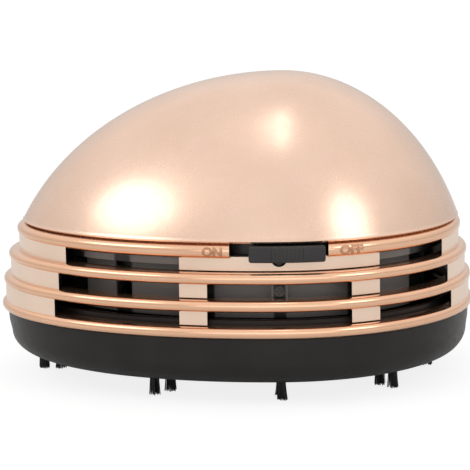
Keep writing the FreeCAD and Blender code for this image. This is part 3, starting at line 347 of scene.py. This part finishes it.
# %% Front plate with its notch
def cut_with(piece, cutter):
    """Takes one closed mesh away from another, and leaves plain geometry behind."""
    rule = piece.modifiers.new("cut", "BOOLEAN")
    rule.operation = "DIFFERENCE"
    rule.solver = "EXACT"
    rule.object = cutter
    bpy.context.view_layer.update()
    done = bpy.data.meshes.new_from_object(piece.evaluated_get(bpy.context.evaluated_depsgraph_get()))
    piece.modifiers.clear()
    piece.data = done
    tidy_mesh(done)
    bpy.data.objects.remove(cutter)


def round_bar(radius, start, end, steps=32):
    """A grid of circles along a straight line: centre + radius * (cos, sin) in the plane across it."""
    start, end = np.array(start, float), np.array(end, float)
    along = (end - start) / np.linalg.norm(end - start)
    side_way = np.cross(along, [0, 0, 1] if abs(along[2]) < 0.9 else [1, 0, 0])
    side_way /= np.linalg.norm(side_way)
    up_way = np.cross(side_way, along)
    turn = np.linspace(0, 2 * np.pi, steps, endpoint=False)
    circle = radius * (np.cos(turn)[:, None] * side_way + np.sin(turn)[:, None] * up_way)
    return np.stack([start + circle, end + circle])


NOTCH_RADIUS, NOTCH_HEIGHT = 1.9, 34.05
plate_shell = wall_between(2, -PILLAR[1], PILLAR[1], True, 90)
plate = make_piece("front_plate", [plate_shell], "upper", ["rib_band"])
cutter_mesh = bpy.data.meshes.new("notch_cutter")
bar = round_bar(NOTCH_RADIUS, (AXIS_X, -36, NOTCH_HEIGHT), (AXIS_X, -50, NOTCH_HEIGHT))
cutter_mesh.from_pydata((bar.reshape(-1, 3) * MM).tolist(), [], faces_of_grid(*bar.shape[:2], False))
tidy_mesh(cutter_mesh)
cutter = bpy.data.objects.new("notch_cutter", cutter_mesh)
bpy.context.scene.collection.objects.link(cutter)
cut_with(plate, cutter)
print("plate faces after the cut", len(plate.data.polygons))

# %% [markdown]
# ON and OFF stand in relief on the top rib, left and right of the slot. They are moulded with the
# band, and only their outlines are raised; their metal is a darker copy of the ribs', as painted
# shade along the raised outlines. Text is made as a thin tube along the outline of each letter,
# turned into a mesh, and then wrapped on the rib's round face.

# %% Raised letters on the top rib
STROKE = 0.14
LONGEST_EDGE = 0.25


def split_long_edges(mesh, longest):
    """Straight strokes get points along them, so that they can follow a curved face."""
    import bmesh
    work = bmesh.new()
    work.from_mesh(mesh)
    straight = [edge for edge in work.edges if edge.calc_length() > 2 * longest]
    bmesh.ops.subdivide_edges(work, edges=straight, cuts=7)
    work.to_mesh(mesh)
    work.free()


def raised_letters(name, words, middle, width, height):
    """Text laid on the rib: x runs along it, and y turns about the middle of its rounded edge."""
    text = bpy.data.curves.new(name, "FONT")
    text.body = words
    text.size = height
    text.fill_mode = "NONE"
    text.bevel_depth = STROKE
    text.bevel_resolution = 2
    text.resolution_u = 5
    flat = bpy.data.objects.new(name + "_flat", text)
    bpy.context.scene.collection.objects.link(flat)
    bpy.context.view_layer.update()
    mesh = bpy.data.meshes.new_from_object(flat.evaluated_get(bpy.context.evaluated_depsgraph_get()))
    bpy.data.objects.remove(flat)
    split_long_edges(mesh, LONGEST_EDGE)
    points = np.array([vertex.co[:] for vertex in mesh.vertices])
    low, high = points[:, :2].min(axis=0), points[:, :2].max(axis=0)
    across = middle + (points[:, 0] - (low[0] + high[0]) / 2) * width / (high[0] - low[0])
    upward = (points[:, 1] - (low[1] + high[1]) / 2) * height / (high[1] - low[1])
    radius = (RIB_HEIGHTS[3] - RIB_FLAT) / 2
    out = radius + points[:, 2]
    reach = SIDE * share(RIB_MIDDLES[3]) - radius + out * np.cos(upward / radius)
    depth = reach * np.sqrt(1 - (across / np.where(across < 0, reach * STRETCH, reach)) ** 2)
    z = BAND_FOOT + RIB_MIDDLES[3] + out * np.sin(upward / radius)
    placed = np.stack([AXIS_X + across, -depth, z], axis=-1) * MM
    for vertex, point in zip(mesh.vertices, placed):
        vertex.co = point
    tidy_mesh(mesh, 60)
    letters = bpy.data.objects.new(name, mesh)
    bpy.context.scene.collection.objects.link(letters)
    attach(letters, "upper")
    print(name, len(mesh.polygons), "faces")
    return letters


letters_on = raised_letters("letters_on", "ON", middle=-15.1, width=4.7, height=2.3)
letters_off = raised_letters("letters_off", "OFF", middle=16.4, width=5.4, height=2.3)

# %% [markdown]
# The base is a dust tray: a shallow dark bowl with a rim that stands inside the band, and a square
# duct round the suction mouth. Because one hole goes through it, the whole tray is a single profile
# carried round and closed on itself, as a torus is: rows near the middle follow a rounded rectangle,
# the others the egg.

# %% Base tray
SQUARENESS = 8


def rectangle_point(angle, half_length, half_width):
    """A rounded rectangle as a superellipse: (|x| / length)^n + (|y| / width)^n = 1, at equal angles."""
    cosine, sine = np.cos(angle), np.sin(angle)
    along, across = np.abs(cosine / half_length), np.abs(sine / half_width)
    reach = (along ** SQUARENESS + across ** SQUARENESS) ** (-1 / SQUARENESS)
    return AXIS_X + reach * cosine, reach * sine


def arc_rows(centre_side, centre_nose, centre_z, radius, start, end, steps):
    """A fillet: side and nose both move by radius * cos, z by radius * sin."""
    turn = np.radians(np.linspace(start, end, steps))
    out = radius * np.cos(turn)
    return centre_side + out, centre_nose + out * STRETCH, centre_z + radius * np.sin(turn)


BASE_TOP_SIDE, BASE_LOW_SIDE, BASE_EDGE, BASE_WALL = 45.3, 43.7, 5.8, 1.6
MOUTH = (17.0, 6.5)
DUCT_WALL, DUCT_TOP = 1.2, 13.0
RIM_RISE, RIM_WALL, RIM_CHAMFER, RIM_GAP, RIM_FOOT_DROP = 3.8, 1.4, 0.2, 0.35, 2.7
SHOULDER_DROP = 0.35
MOUTH_CHAMFER = 0.4
rim_outer = THROAT + (FOOT - THROAT) * (1 - RIM_RISE / (SEAM - BAND_FOOT)) - RIM_GAP
bottom = FLOOR_OF_BASE
lean = (BASE_TOP_SIDE - BASE_LOW_SIDE) / (BAND_FOOT - bottom)


def wall_side(z):
    """The bowl's outer side leans evenly from the underside to the band."""
    return BASE_LOW_SIDE + lean * (z - bottom)


edge_high = bottom + BASE_EDGE
centre = wall_side(edge_high) - BASE_EDGE
outer_edge = arc_rows(centre, centre * STRETCH, edge_high, BASE_EDGE, -90, 0, 16)
inner_edge = arc_rows(centre, centre * STRETCH, edge_high, BASE_EDGE - BASE_WALL, 0, -90, 12)
rim_foot = BAND_FOOT - RIM_FOOT_DROP
rim_top = BAND_FOOT + RIM_RISE
rim_inner = rim_outer - RIM_WALL
shoulder = BAND_FOOT - SHOULDER_DROP
top_of_bowl = [(wall_side(13.5), 13.5), (BASE_TOP_SIDE - 0.25, BAND_FOOT - 0.06),
               (BASE_TOP_SIDE - 0.5, BAND_FOOT), (BASE_TOP_SIDE - 1.7, BAND_FOOT)]
rim = [(BASE_TOP_SIDE - 1.8, shoulder), (rim_outer, shoulder), (rim_outer, rim_top - RIM_CHAMFER),
       (rim_outer - RIM_CHAMFER, rim_top), (rim_inner + RIM_CHAMFER, rim_top),
       (rim_inner, rim_top - RIM_CHAMFER),
       (rim_inner, rim_foot), (wall_side(rim_foot) - BASE_WALL, rim_foot)]
egg_part = joined(outer_edge, egg_rows(top_of_bowl), egg_rows(rim), inner_edge)
turn = np.linspace(0, FULL, ROUND)[:, None]
egg_grid = carried(egg_part, 0, FULL, ROUND)
rings = [(DUCT_WALL, bottom + BASE_WALL), (DUCT_WALL, DUCT_TOP), (0, DUCT_TOP),
         (0, bottom + MOUTH_CHAMFER), (MOUTH_CHAMFER, bottom)]
columns = []
for wall, z in rings:
    x, y = rectangle_point(turn[:, 0], MOUTH[0] + wall, MOUTH[1] + wall)
    columns.append(np.stack([x, y, np.full_like(x, z)], axis=-1))
mouth_grid = np.stack(columns, axis=1)
tray_grid = np.concatenate([egg_grid, mouth_grid], axis=1)
tray_shells = [(tray_grid, True)]

TUFT_ANGLES = (("nose", 180.0), ("front_left", 235.7), ("front", 270.0), ("front_right", 317.5),
               ("tail", 0.0), ("rear_right", 42.5), ("rear", 90.0), ("rear_left", 124.3))
NOSE_TUFTS, OTHER_TUFTS = (0.862, 0.8), (0.766, 0.677)
BOSS_RADIUS, BOSS_LOW, BOSS_HIGH, BOSS_STEPS = 1.9, 1.0, 3.55, 24
ROOT_HEIGHT = 1.3


def tuft_places():
    """Where each tuft stands: a share of the plan's reach at its angle."""
    for name, degrees in TUFT_ANGLES:
        angle = math.radians(degrees)
        nose_end = 90 < degrees < 270
        reach = NOSE if nose_end else SIDE
        shares = NOSE_TUFTS if name == "nose" else OTHER_TUFTS
        for ring, out in zip(("outer", "inner"), shares):
            x, y = AXIS_X + reach * out * math.cos(angle), SIDE * out * math.sin(angle)
            yield f"tuft_{name}_{ring}", x, y


for name, x, y in tuft_places():
    boss = round_bar(BOSS_RADIUS, (x, y, bottom + BOSS_LOW), (x, y, bottom + BOSS_HIGH), BOSS_STEPS)
    tray_shells.append((boss, False))
tray = make_piece("tray", tray_shells, "base", ["base_tray", "mouth_duct"])

# %% [markdown]
# The switch knob is a curved bar that slides round the band. Its front face is part of a circle about
# the dome's axis. A box-shaped grid with rounded corners, bent round that circle, gives the soft
# corners of a moulded part, and fine upright grooves in its middle give the thumb some grip.

# %% Switch knob
GROOVE_PITCH, GRIP_SHARE = 0.9, 0.42


def bent_bar(half_width, outer, inner, low, high, corner, middle_degrees, steps=120, groove=0.0):
    """Sections across a bar bent about the dome's axis; the outer face's corners are quarter circles."""
    turn = np.radians(np.linspace(-90, 90, 18))
    lower = turn < 0
    section_r = outer - corner + corner * np.cos(turn)
    section_z = np.where(lower, low + corner, high - corner) + corner * np.sin(turn)
    section_r = np.concatenate([[inner], section_r, [inner]])
    section_z = np.concatenate([[low], section_z, [high]])
    along = np.linspace(-1, 1, steps)
    end_zone = corner / half_width
    close = np.clip((np.abs(along) - (1 - end_zone)) / end_zone, 0, 1)
    pull = corner * (1 - np.sqrt(1 - close ** 2))
    waves = np.clip(np.cos(along * half_width / GROOVE_PITCH * 2 * np.pi), 0, 1)
    grooves = groove * waves * (np.abs(along) < GRIP_SHARE)
    angle = (along * half_width / outer)[:, None] + math.radians(middle_degrees)
    middle_z = (low + high) / 2
    radius = section_r[None, :] - (section_r[None, :] > inner + 0.01) * (pull + grooves)[:, None]
    z = middle_z + (section_z[None, :] - middle_z) * (1 - pull / ((high - low) / 2))[:, None]
    z = np.broadcast_to(z, radius.shape)
    return np.stack([AXIS_X + radius * np.sin(angle), -radius * np.cos(angle), z], axis=-1), False


KNOB_DEGREES = 2.5
bar_shell = bent_bar(half_width=8.85, outer=44.4, inner=43.1, low=33.5, high=37.25, corner=0.55,
                     middle_degrees=KNOB_DEGREES, steps=260, groove=0.09)
tongue_shell = bent_bar(half_width=8.4, outer=43.3, inner=38.8, low=34.5, high=37.07, corner=0.1,
                        middle_degrees=KNOB_DEGREES, steps=40)
knob = make_piece("knob", [bar_shell, tongue_shell], "knob", ["switch_knob"])

# %% [markdown]
# A tuft is a bundle of stiff black bristles set in one hole. Each bristle here is a thin tapering rod
# of its own, bent a little outward and cut at a slightly different length, so that the tips look
# ragged as they do on a used brush. The random numbers come from one seeded source, so that each run
# gives the same tufts.

# %% Bristle tufts
RANDOM = np.random.default_rng(7)
BRISTLE_RADIUS, BRISTLE_TAPER = 0.095, 0.25
LONGEST_CUT, SHARE_CUT = 0.55, 0.6


def bristles(x, y, top, count=64, root=1.0, tip=1.38):
    """Rods from a round bundle: each bends from its root down to a tip that stands further out."""
    angle = RANDOM.uniform(0, 2 * np.pi, count)
    away = np.sqrt(RANDOM.uniform(0.02, 1, count))
    lean_x, lean_y = RANDOM.normal(0, 0.12, 2)
    levels = np.linspace(0, 1, 5)
    cut = RANDOM.uniform(0.0, LONGEST_CUT, count) * (RANDOM.uniform(0, 1, count) < SHARE_CUT)
    radius = np.minimum(root + (tip - root) * levels[None, :] ** 1.5, tip) * away[:, None]
    bow = RANDOM.normal(0, 0.05, (count, 2))[:, None, :] * (levels ** 2)[None, :, None]
    centre_x = x + radius * np.cos(angle)[:, None] + lean_x * levels ** 2 + bow[..., 0]
    centre_y = y + radius * np.sin(angle)[:, None] + lean_y * levels ** 2 + bow[..., 1]
    z = top + (cut[:, None] - top) * levels[None, :]
    turn = np.linspace(0, 2 * np.pi, 5, endpoint=False)
    thick = BRISTLE_RADIUS * (1 - BRISTLE_TAPER * levels)
    ring_x = centre_x[..., None] + thick[None, :, None] * np.cos(turn)
    ring_y = centre_y[..., None] + thick[None, :, None] * np.sin(turn)
    grids = np.stack([ring_x, ring_y, np.broadcast_to(z[..., None], ring_x.shape)], axis=-1)
    return [(grid, False) for grid in grids]


for name, x, y in tuft_places():
    shells = bristles(x, y, bottom + ROOT_HEIGHT)
    make_piece(name.replace("tuft", "bristles"), shells, "base", [name])

# %% [markdown]
# Finishes. The lacquer is a metallic rose gold under a clear coat. It is never quite even: the metal
# flake and the moulding under it give a slow drift in colour, and the polish leaves faint waves. Both
# come from noise at the right scale, in object coordinates, so that they stay on the piece as it moves.

# %% Helpers for materials
def new_material(name, colour, roughness, metallic=0.0, **sockets):
    """A Principled surface with plain values on its own sockets."""
    material = bpy.data.materials.new(name)
    material.use_nodes = True
    surface = material.node_tree.nodes["Principled BSDF"]
    surface.inputs["Base Color"].default_value = (*colour, 1)
    surface.inputs["Roughness"].default_value = roughness
    surface.inputs["Metallic"].default_value = metallic
    for socket, value in sockets.items():
        surface.inputs[socket.replace("_", " ")].default_value = value
    return material, surface


def noise(material, scale, detail=3.0, stretch=(1, 1, 1)):
    """A noise pattern in object coordinates; scale counts its cells per metre."""
    tree = material.node_tree
    place = tree.nodes.new("ShaderNodeTexCoord")
    mapping = tree.nodes.new("ShaderNodeMapping")
    mapping.inputs["Scale"].default_value = stretch
    pattern = tree.nodes.new("ShaderNodeTexNoise")
    pattern.inputs["Scale"].default_value = scale
    pattern.inputs["Detail"].default_value = detail
    tree.links.new(place.outputs["Object"], mapping.inputs["Vector"])
    tree.links.new(mapping.outputs["Vector"], pattern.inputs["Vector"])
    return pattern.outputs["Fac"]


def ramp(material, factor, stops):
    """Colours or greys spread over a factor."""
    node = material.node_tree.nodes.new("ShaderNodeValToRGB")
    elements = node.color_ramp.elements
    while len(elements) < len(stops):
        elements.new(0.5)
    for element, (place, colour) in zip(elements, stops):
        element.position = place
        element.color = (*colour, 1) if len(colour) == 3 else colour
    material.node_tree.links.new(factor, node.inputs["Fac"])
    return node.outputs["Color"]


def tint(material, surface, factor, low, high):
    """The base colour drifts between two values."""
    colour = ramp(material, factor, [(0.3, low), (0.7, high)])
    material.node_tree.links.new(colour, surface.inputs["Base Color"])


def rough(material, surface, factor, low, high):
    """The roughness drifts between two values."""
    spread = material.node_tree.nodes.new("ShaderNodeMapRange")
    spread.inputs["From Min"].default_value = 0.3
    spread.inputs["From Max"].default_value = 0.7
    spread.inputs["To Min"].default_value = low
    spread.inputs["To Max"].default_value = high
    material.node_tree.links.new(factor, spread.inputs["Value"])
    material.node_tree.links.new(spread.outputs["Result"], surface.inputs["Roughness"])


def bump(material, surface, factor, strength, depth):
    """Small relief; depth is the height of the pattern in metres."""
    node = material.node_tree.nodes.new("ShaderNodeBump")
    node.inputs["Strength"].default_value = strength
    node.inputs["Distance"].default_value = depth
    material.node_tree.links.new(factor, node.inputs["Height"])
    material.node_tree.links.new(node.outputs["Normal"], surface.inputs["Normal"])


def finish(material, *pieces):
    """Gives pieces one material."""
    for piece in pieces:
        piece.data.materials.clear()
        piece.data.materials.append(material)


# %% Rose-gold lacquer on the dome and the ribs
def rose(name, low, high, roughness, grain, relief, metallic):
    """Rose-gold metal under clear lacquer: a slow drift in colour, fine scatter in gloss, faint waves."""
    material, surface = new_material(name, low, roughness, metallic, Coat_Weight=0.2, Coat_Roughness=0.14)
    tint(material, surface, noise(material, 70, 2), low, high)
    rough(material, surface, noise(material, 400, 2), roughness - 0.02, roughness + 0.03)
    bump(material, surface, noise(material, grain, 3), 0.08, relief)
    return material


lacquer = rose("rose_lacquer", (0.81, 0.565, 0.43), (0.86, 0.61, 0.47), 0.26, 300, 0.00004, 0.85)
plating = rose("rose_plating", (0.84, 0.50, 0.32), (0.90, 0.55, 0.36), 0.15, 250, 0.0001, 0.95)
satin = rose("rose_satin", (0.87, 0.67, 0.525), (0.93, 0.725, 0.575), 0.30, 300, 0.00004, 0.7)
# Painted shade: the letters' metal is a darker copy of the ribs' plating, for the shade along their raised
# outlines.
letter_painted_shade = rose("rose_lettering_painted_shade", (0.50, 0.26, 0.15), (0.58, 0.31, 0.19), 0.25, 2500, 0.00002, 0.9)
finish(lacquer, dome)
finish(satin, plate)
finish(letter_painted_shade, letters_on, letters_off)

# %% [markdown]
# The tray, the knob and the inner walls are dark moulded plastic. What tells them from a flat black
# is the fine texture that the mould leaves: a bump of a few hundredths of a millimetre, and a
# roughness that changes with it. The inner wall's grey is painted light: pale grey steps in x stand
# for the reflection of light on its black plastic, and black steps between them for shade in recesses.

# %% Dark plastics
def moulded(name, low, high, roughness, grain=1800, depth=0.00003, **sockets):
    """Moulded plastic: fine grain as bump, with a slow drift in colour and roughness."""
    material, surface = new_material(name, low, roughness, **sockets)
    tint(material, surface, noise(material, 120, 3), low, high)
    rough(material, surface, noise(material, grain / 3, 4), roughness - 0.05, roughness + 0.06)
    bump(material, surface, noise(material, grain, 5), 0.35, depth)
    return material


charcoal = moulded("charcoal_satin", (0.010, 0.0085, 0.008), (0.015, 0.013, 0.012), 0.36,
                   Specular_IOR_Level=0.3)
knob_plastic = moulded("knob_plastic", (0.015, 0.013, 0.0125), (0.022, 0.019, 0.0185), 0.45)
black = moulded("black_satin", (0.008, 0.007, 0.007), (0.012, 0.010, 0.010), 0.35)
bristle_black = moulded("bristle_nylon", (0.006, 0.006, 0.006), (0.014, 0.013, 0.012), 0.42, grain=4000)

# Painted light on the inner wall: pale grey steps in x are painted reflection on its black plastic, and the
# black steps between them are painted shade in its recesses.
RAMP_REACH = 60
wall_painted_light, surface = new_material("inner_wall_painted_light", (0.02, 0.02, 0.02), 0.32)
place = wall_painted_light.node_tree.nodes.new("ShaderNodeTexCoord")
split = wall_painted_light.node_tree.nodes.new("ShaderNodeSeparateXYZ")
spread = wall_painted_light.node_tree.nodes.new("ShaderNodeMapRange")
spread.inputs["From Min"].default_value = -RAMP_REACH * MM
spread.inputs["From Max"].default_value = RAMP_REACH * MM
wall_painted_light.node_tree.links.new(place.outputs["Object"], split.inputs["Vector"])
wall_painted_light.node_tree.links.new(split.outputs["X"], spread.inputs["Value"])


def painted_light_steps(limits, dark, pale):
    """Sharp steps of painted reflection and painted shade: dark to pale grey and back, at x in mm."""
    stops = [(0.0, dark)]
    for left, right in limits:
        edges = ((left - 0.2, dark), (left, pale), (right, pale), (right + 0.2, dark))
        stops += [((x + RAMP_REACH) / (2 * RAMP_REACH), colour) for x, colour in edges]
    return stops


# Where in x the inner wall's painted reflection lies, in mm; painted shade lies between these steps.
PAINTED_SHEEN_PANELS = [(-34.2, -26.9), (-22.9, -11.0), (-3.5, 10.0), (13.0, 27.0), (33.0, 41.4)]
painted_light_stops = painted_light_steps(PAINTED_SHEEN_PANELS, (0.008, 0.007, 0.007), (0.19, 0.185, 0.18))
painted_light_colour = ramp(wall_painted_light, spread.outputs["Result"], painted_light_stops)
wall_painted_light.node_tree.links.new(painted_light_colour, surface.inputs["Base Color"])
rough(wall_painted_light, surface, noise(wall_painted_light, 500, 3), 0.28, 0.40)
bump(wall_painted_light, surface, noise(wall_painted_light, 1800, 4), 0.3, 0.00003)

finish(charcoal, tray)
finish(knob_plastic, knob)


RIB, WALL, INNER_SIDE = range(3)


def finish_band(piece):
    """Plated ribs, satin pillars set back between them, and bare black plastic on the inner side."""
    for material in (plating, satin, black):
        piece.data.materials.append(material)
    for face in piece.data.polygons:
        x, y, z = face.center / MM
        level = z - BAND_FOOT
        outward = (x - AXIS_X) * face.normal.x + y * face.normal.y
        upright = abs(face.normal.z) < 0.7
        on_rib = any(abs(level - middle) <= tall / 2 for middle, tall in zip(RIB_MIDDLES, RIB_HEIGHTS))
        if upright and outward < 0:
            face.material_index = INNER_SIDE
        else:
            face.material_index = RIB if on_rib or not upright else WALL


finish_band(band)
finish(black, nodes["switch_carrier"], nodes["switch_lever"], nodes["motor_deck"], nodes["filter_frame"])
finish(wall_painted_light, nodes["chassis_tub"])
for piece in bpy.context.scene.objects:
    if piece.name.startswith("bristles"):
        finish(bristle_black, piece)

# %% [markdown]
# Inside are the motor, the fan, two cells and their wiring. They show only when the dome is lifted,
# but each still gets the finish of its real material.

# %% Metals and inner parts
def metal(name, low, high, roughness, grain=900, stretch=(1, 1, 1)):
    """Sheet or turned metal: noise drawn out along the grain moves both colour and roughness."""
    material, surface = new_material(name, low, roughness, 1.0)
    tint(material, surface, noise(material, grain, 4, stretch), low, high)
    rough(material, surface, noise(material, grain, 3, stretch), roughness - 0.08, roughness + 0.08)
    bump(material, surface, noise(material, grain * 2, 3, stretch), 0.15, 0.00002)
    return material


zinc = metal("zinc_plate", (0.50, 0.50, 0.48), (0.66, 0.66, 0.63), 0.30, 700, (1, 1, 0.15))
nickel = metal("nickel_sheet", (0.62, 0.60, 0.56), (0.74, 0.72, 0.68), 0.24, 900, (1, 0.2, 1))
bright = metal("bright_screw", (0.70, 0.69, 0.66), (0.85, 0.84, 0.80), 0.18)
gunmetal = metal("dark_screw", (0.05, 0.048, 0.046), (0.09, 0.086, 0.082), 0.28)
brass = metal("brass", (0.62, 0.44, 0.17), (0.76, 0.56, 0.24), 0.26)
copper = metal("windings", (0.50, 0.20, 0.08), (0.70, 0.32, 0.14), 0.35, 1600, (0.1, 0.1, 1))
cream = moulded("cream_plastic", (0.58, 0.56, 0.50), (0.66, 0.64, 0.58), 0.42)
white = moulded("white_plastic", (0.68, 0.68, 0.66), (0.76, 0.76, 0.74), 0.38)
ferrite = moulded("ferrite", (0.035, 0.034, 0.036), (0.060, 0.058, 0.060), 0.60, 900, 0.00006)
sleeve = moulded("cell_sleeve", (0.10, 0.22, 0.20), (0.13, 0.27, 0.25), 0.22, 300, 0.00002)
red = moulded("red_insulation", (0.45, 0.02, 0.015), (0.55, 0.03, 0.02), 0.40)
yellow = moulded("yellow_insulation", (0.62, 0.42, 0.03), (0.72, 0.50, 0.05), 0.40)
dark_wire = moulded("black_insulation", (0.012, 0.012, 0.012), (0.020, 0.020, 0.020), 0.40)
finish(zinc, nodes["motor_can"], nodes["switch_body"])
for name in ("contact_link", "contact_plus", "contact_minus", "spring_nose", "spring_tail"):
    finish(nickel, nodes[name])
finish(gunmetal, nodes["front_screw"])
for name in ("chassis_screws", "deck_screws", "motor_screws", "switch_screws", "motor_shaft"):
    finish(bright, nodes[name])
finish(brass, nodes["motor_bushes"], nodes["motor_terminals"])
finish(copper, nodes["armature"])
finish(cream, nodes["motor_end_cap"])
finish(white, nodes["impeller"])
finish(ferrite, nodes["motor_magnets"])
finish(sleeve, nodes["cell_front"], nodes["cell_rear"])
finish(red, nodes["wire_red"])
finish(yellow, nodes["wire_yellow"])
finish(dark_wire, nodes["wire_black"])

mesh_cloth, surface = new_material("filter_mesh", (0.62, 0.62, 0.60), 0.75)
weave = mesh_cloth.node_tree.nodes.new("ShaderNodeTexBrick")
weave.inputs["Scale"].default_value = 900
weave.inputs["Color1"].default_value = (0.66, 0.66, 0.63, 1)
weave.inputs["Color2"].default_value = (0.58, 0.58, 0.56, 1)
weave.inputs["Mortar"].default_value = (0.12, 0.12, 0.12, 1)
place = mesh_cloth.node_tree.nodes.new("ShaderNodeTexCoord")
mesh_cloth.node_tree.links.new(place.outputs["Object"], weave.inputs["Vector"])
mesh_cloth.node_tree.links.new(weave.outputs["Color"], surface.inputs["Base Color"])
finish(mesh_cloth, nodes["filter_mesh"])
print("materials", len(bpy.data.materials))

# %% [markdown]
# The studio: a plain pale floor under a white sky. The sky is full white to the camera. In metal it
# fades towards the horizon, as the walls of a studio do, which gives the dome its darker edges, and
# it lights the object more gently. An oval soft box at the upper left, a flat one overhead and a round
# one at the right make the dome's three highlights, and a wide one stands behind the camera. The floor
# glows a little to the camera alone, so that it's white and still shows a soft shadow.

# %% Floor, sky and lamps
FLOOR_GLOW_SHARE, FLOOR_GLOW = 0.74, 1.13
SKY_FADE_HEIGHT, HORIZON_IN_METAL, SKY_LIGHT = 0.62, 0.62, 0.72
floor_mesh = bpy.data.meshes.new("floor")
floor_mesh.from_pydata([(-30, -30, 0), (30, -30, 0), (30, 30, 0), (-30, 30, 0)], [], [(0, 1, 2, 3)])
floor = bpy.data.objects.new("floor", floor_mesh)
bpy.context.scene.collection.objects.link(floor)
pale, surface = new_material("pale_floor", (0.9, 0.9, 0.9), 0.9)
tree = pale.node_tree
path = tree.nodes.new("ShaderNodeLightPath")
glow = tree.nodes.new("ShaderNodeEmission")
mix = tree.nodes.new("ShaderNodeMixShader")
amount = tree.nodes.new("ShaderNodeMath")
amount.operation = "MULTIPLY"
amount.inputs[1].default_value = FLOOR_GLOW_SHARE
glow.inputs["Strength"].default_value = FLOOR_GLOW
tree.links.new(path.outputs["Is Camera Ray"], amount.inputs[0])
tree.links.new(amount.outputs[0], mix.inputs["Fac"])
tree.links.new(surface.outputs["BSDF"], mix.inputs[1])
tree.links.new(glow.outputs["Emission"], mix.inputs[2])
tree.links.new(mix.outputs["Shader"], tree.nodes["Material Output"].inputs["Surface"])
finish(pale, floor)

world = bpy.data.worlds.new("sky")
bpy.context.scene.world = world
world.use_nodes = True
tree = world.node_tree
sky = tree.nodes["Background"]
sky.inputs["Color"].default_value = (1, 1, 1, 1)
path = tree.nodes.new("ShaderNodeLightPath").outputs


def combined(operation, first, second):
    """One step of arithmetic on two values of the sky."""
    node = tree.nodes.new("ShaderNodeMath")
    node.operation = operation
    for socket, number in zip(node.inputs, (first, second)):
        if isinstance(number, float):
            socket.default_value = number
        else:
            tree.links.new(number, socket)
    return node.outputs[0]


direction = tree.nodes.new("ShaderNodeTexCoord")
height = tree.nodes.new("ShaderNodeSeparateXYZ")
fade = tree.nodes.new("ShaderNodeMapRange")
fade.inputs["From Max"].default_value = SKY_FADE_HEIGHT
fade.inputs["To Min"].default_value = HORIZON_IN_METAL
tree.links.new(direction.outputs["Generated"], height.inputs["Vector"])
tree.links.new(height.outputs["Z"], fade.inputs["Value"])
plain_view = combined("MAXIMUM", path["Is Camera Ray"], path["Is Transmission Ray"])
in_metal = combined("MULTIPLY", path["Is Glossy Ray"], fade.outputs["Result"])
elsewhere = combined("SUBTRACT", 1.0, combined("MAXIMUM", plain_view, path["Is Glossy Ray"]))
lighting = combined("MULTIPLY", elsewhere, SKY_LIGHT)
tree.links.new(combined("ADD", combined("MAXIMUM", plain_view, in_metal), lighting), sky.inputs["Strength"])


def lamp(name, place, aim, size, watts):
    """An oval soft lamp at a place, turned towards a point."""
    data = bpy.data.lights.new(name, "AREA")
    data.shape = "ELLIPSE"
    data.size, data.size_y = size
    data.energy = watts
    light = bpy.data.objects.new(name, data)
    light.location = place
    light.rotation_euler = (Vector(aim) - Vector(place)).to_track_quat("-Z", "Y").to_euler()
    bpy.context.scene.collection.objects.link(light)
    return light


lamp("key", (-0.65, -0.33, 0.61), (-0.02, -0.03, 0.045), (0.58, 0.34), 1.0)
lamp("overhead", (0.02, -0.03, 0.82), (0.01, -0.03, 0.06), (0.40, 0.12), 0.19)
lamp("right", (0.55, -0.46, 0.47), (0.03, -0.04, 0.043), (0.34, 0.34), 0.56)
lamp("front", (0.1, -1.3, 0.25), (0, 0, 0.03), (1.58, 0.8), 2.1)
bpy.context.scene.view_settings.view_transform = "Standard"
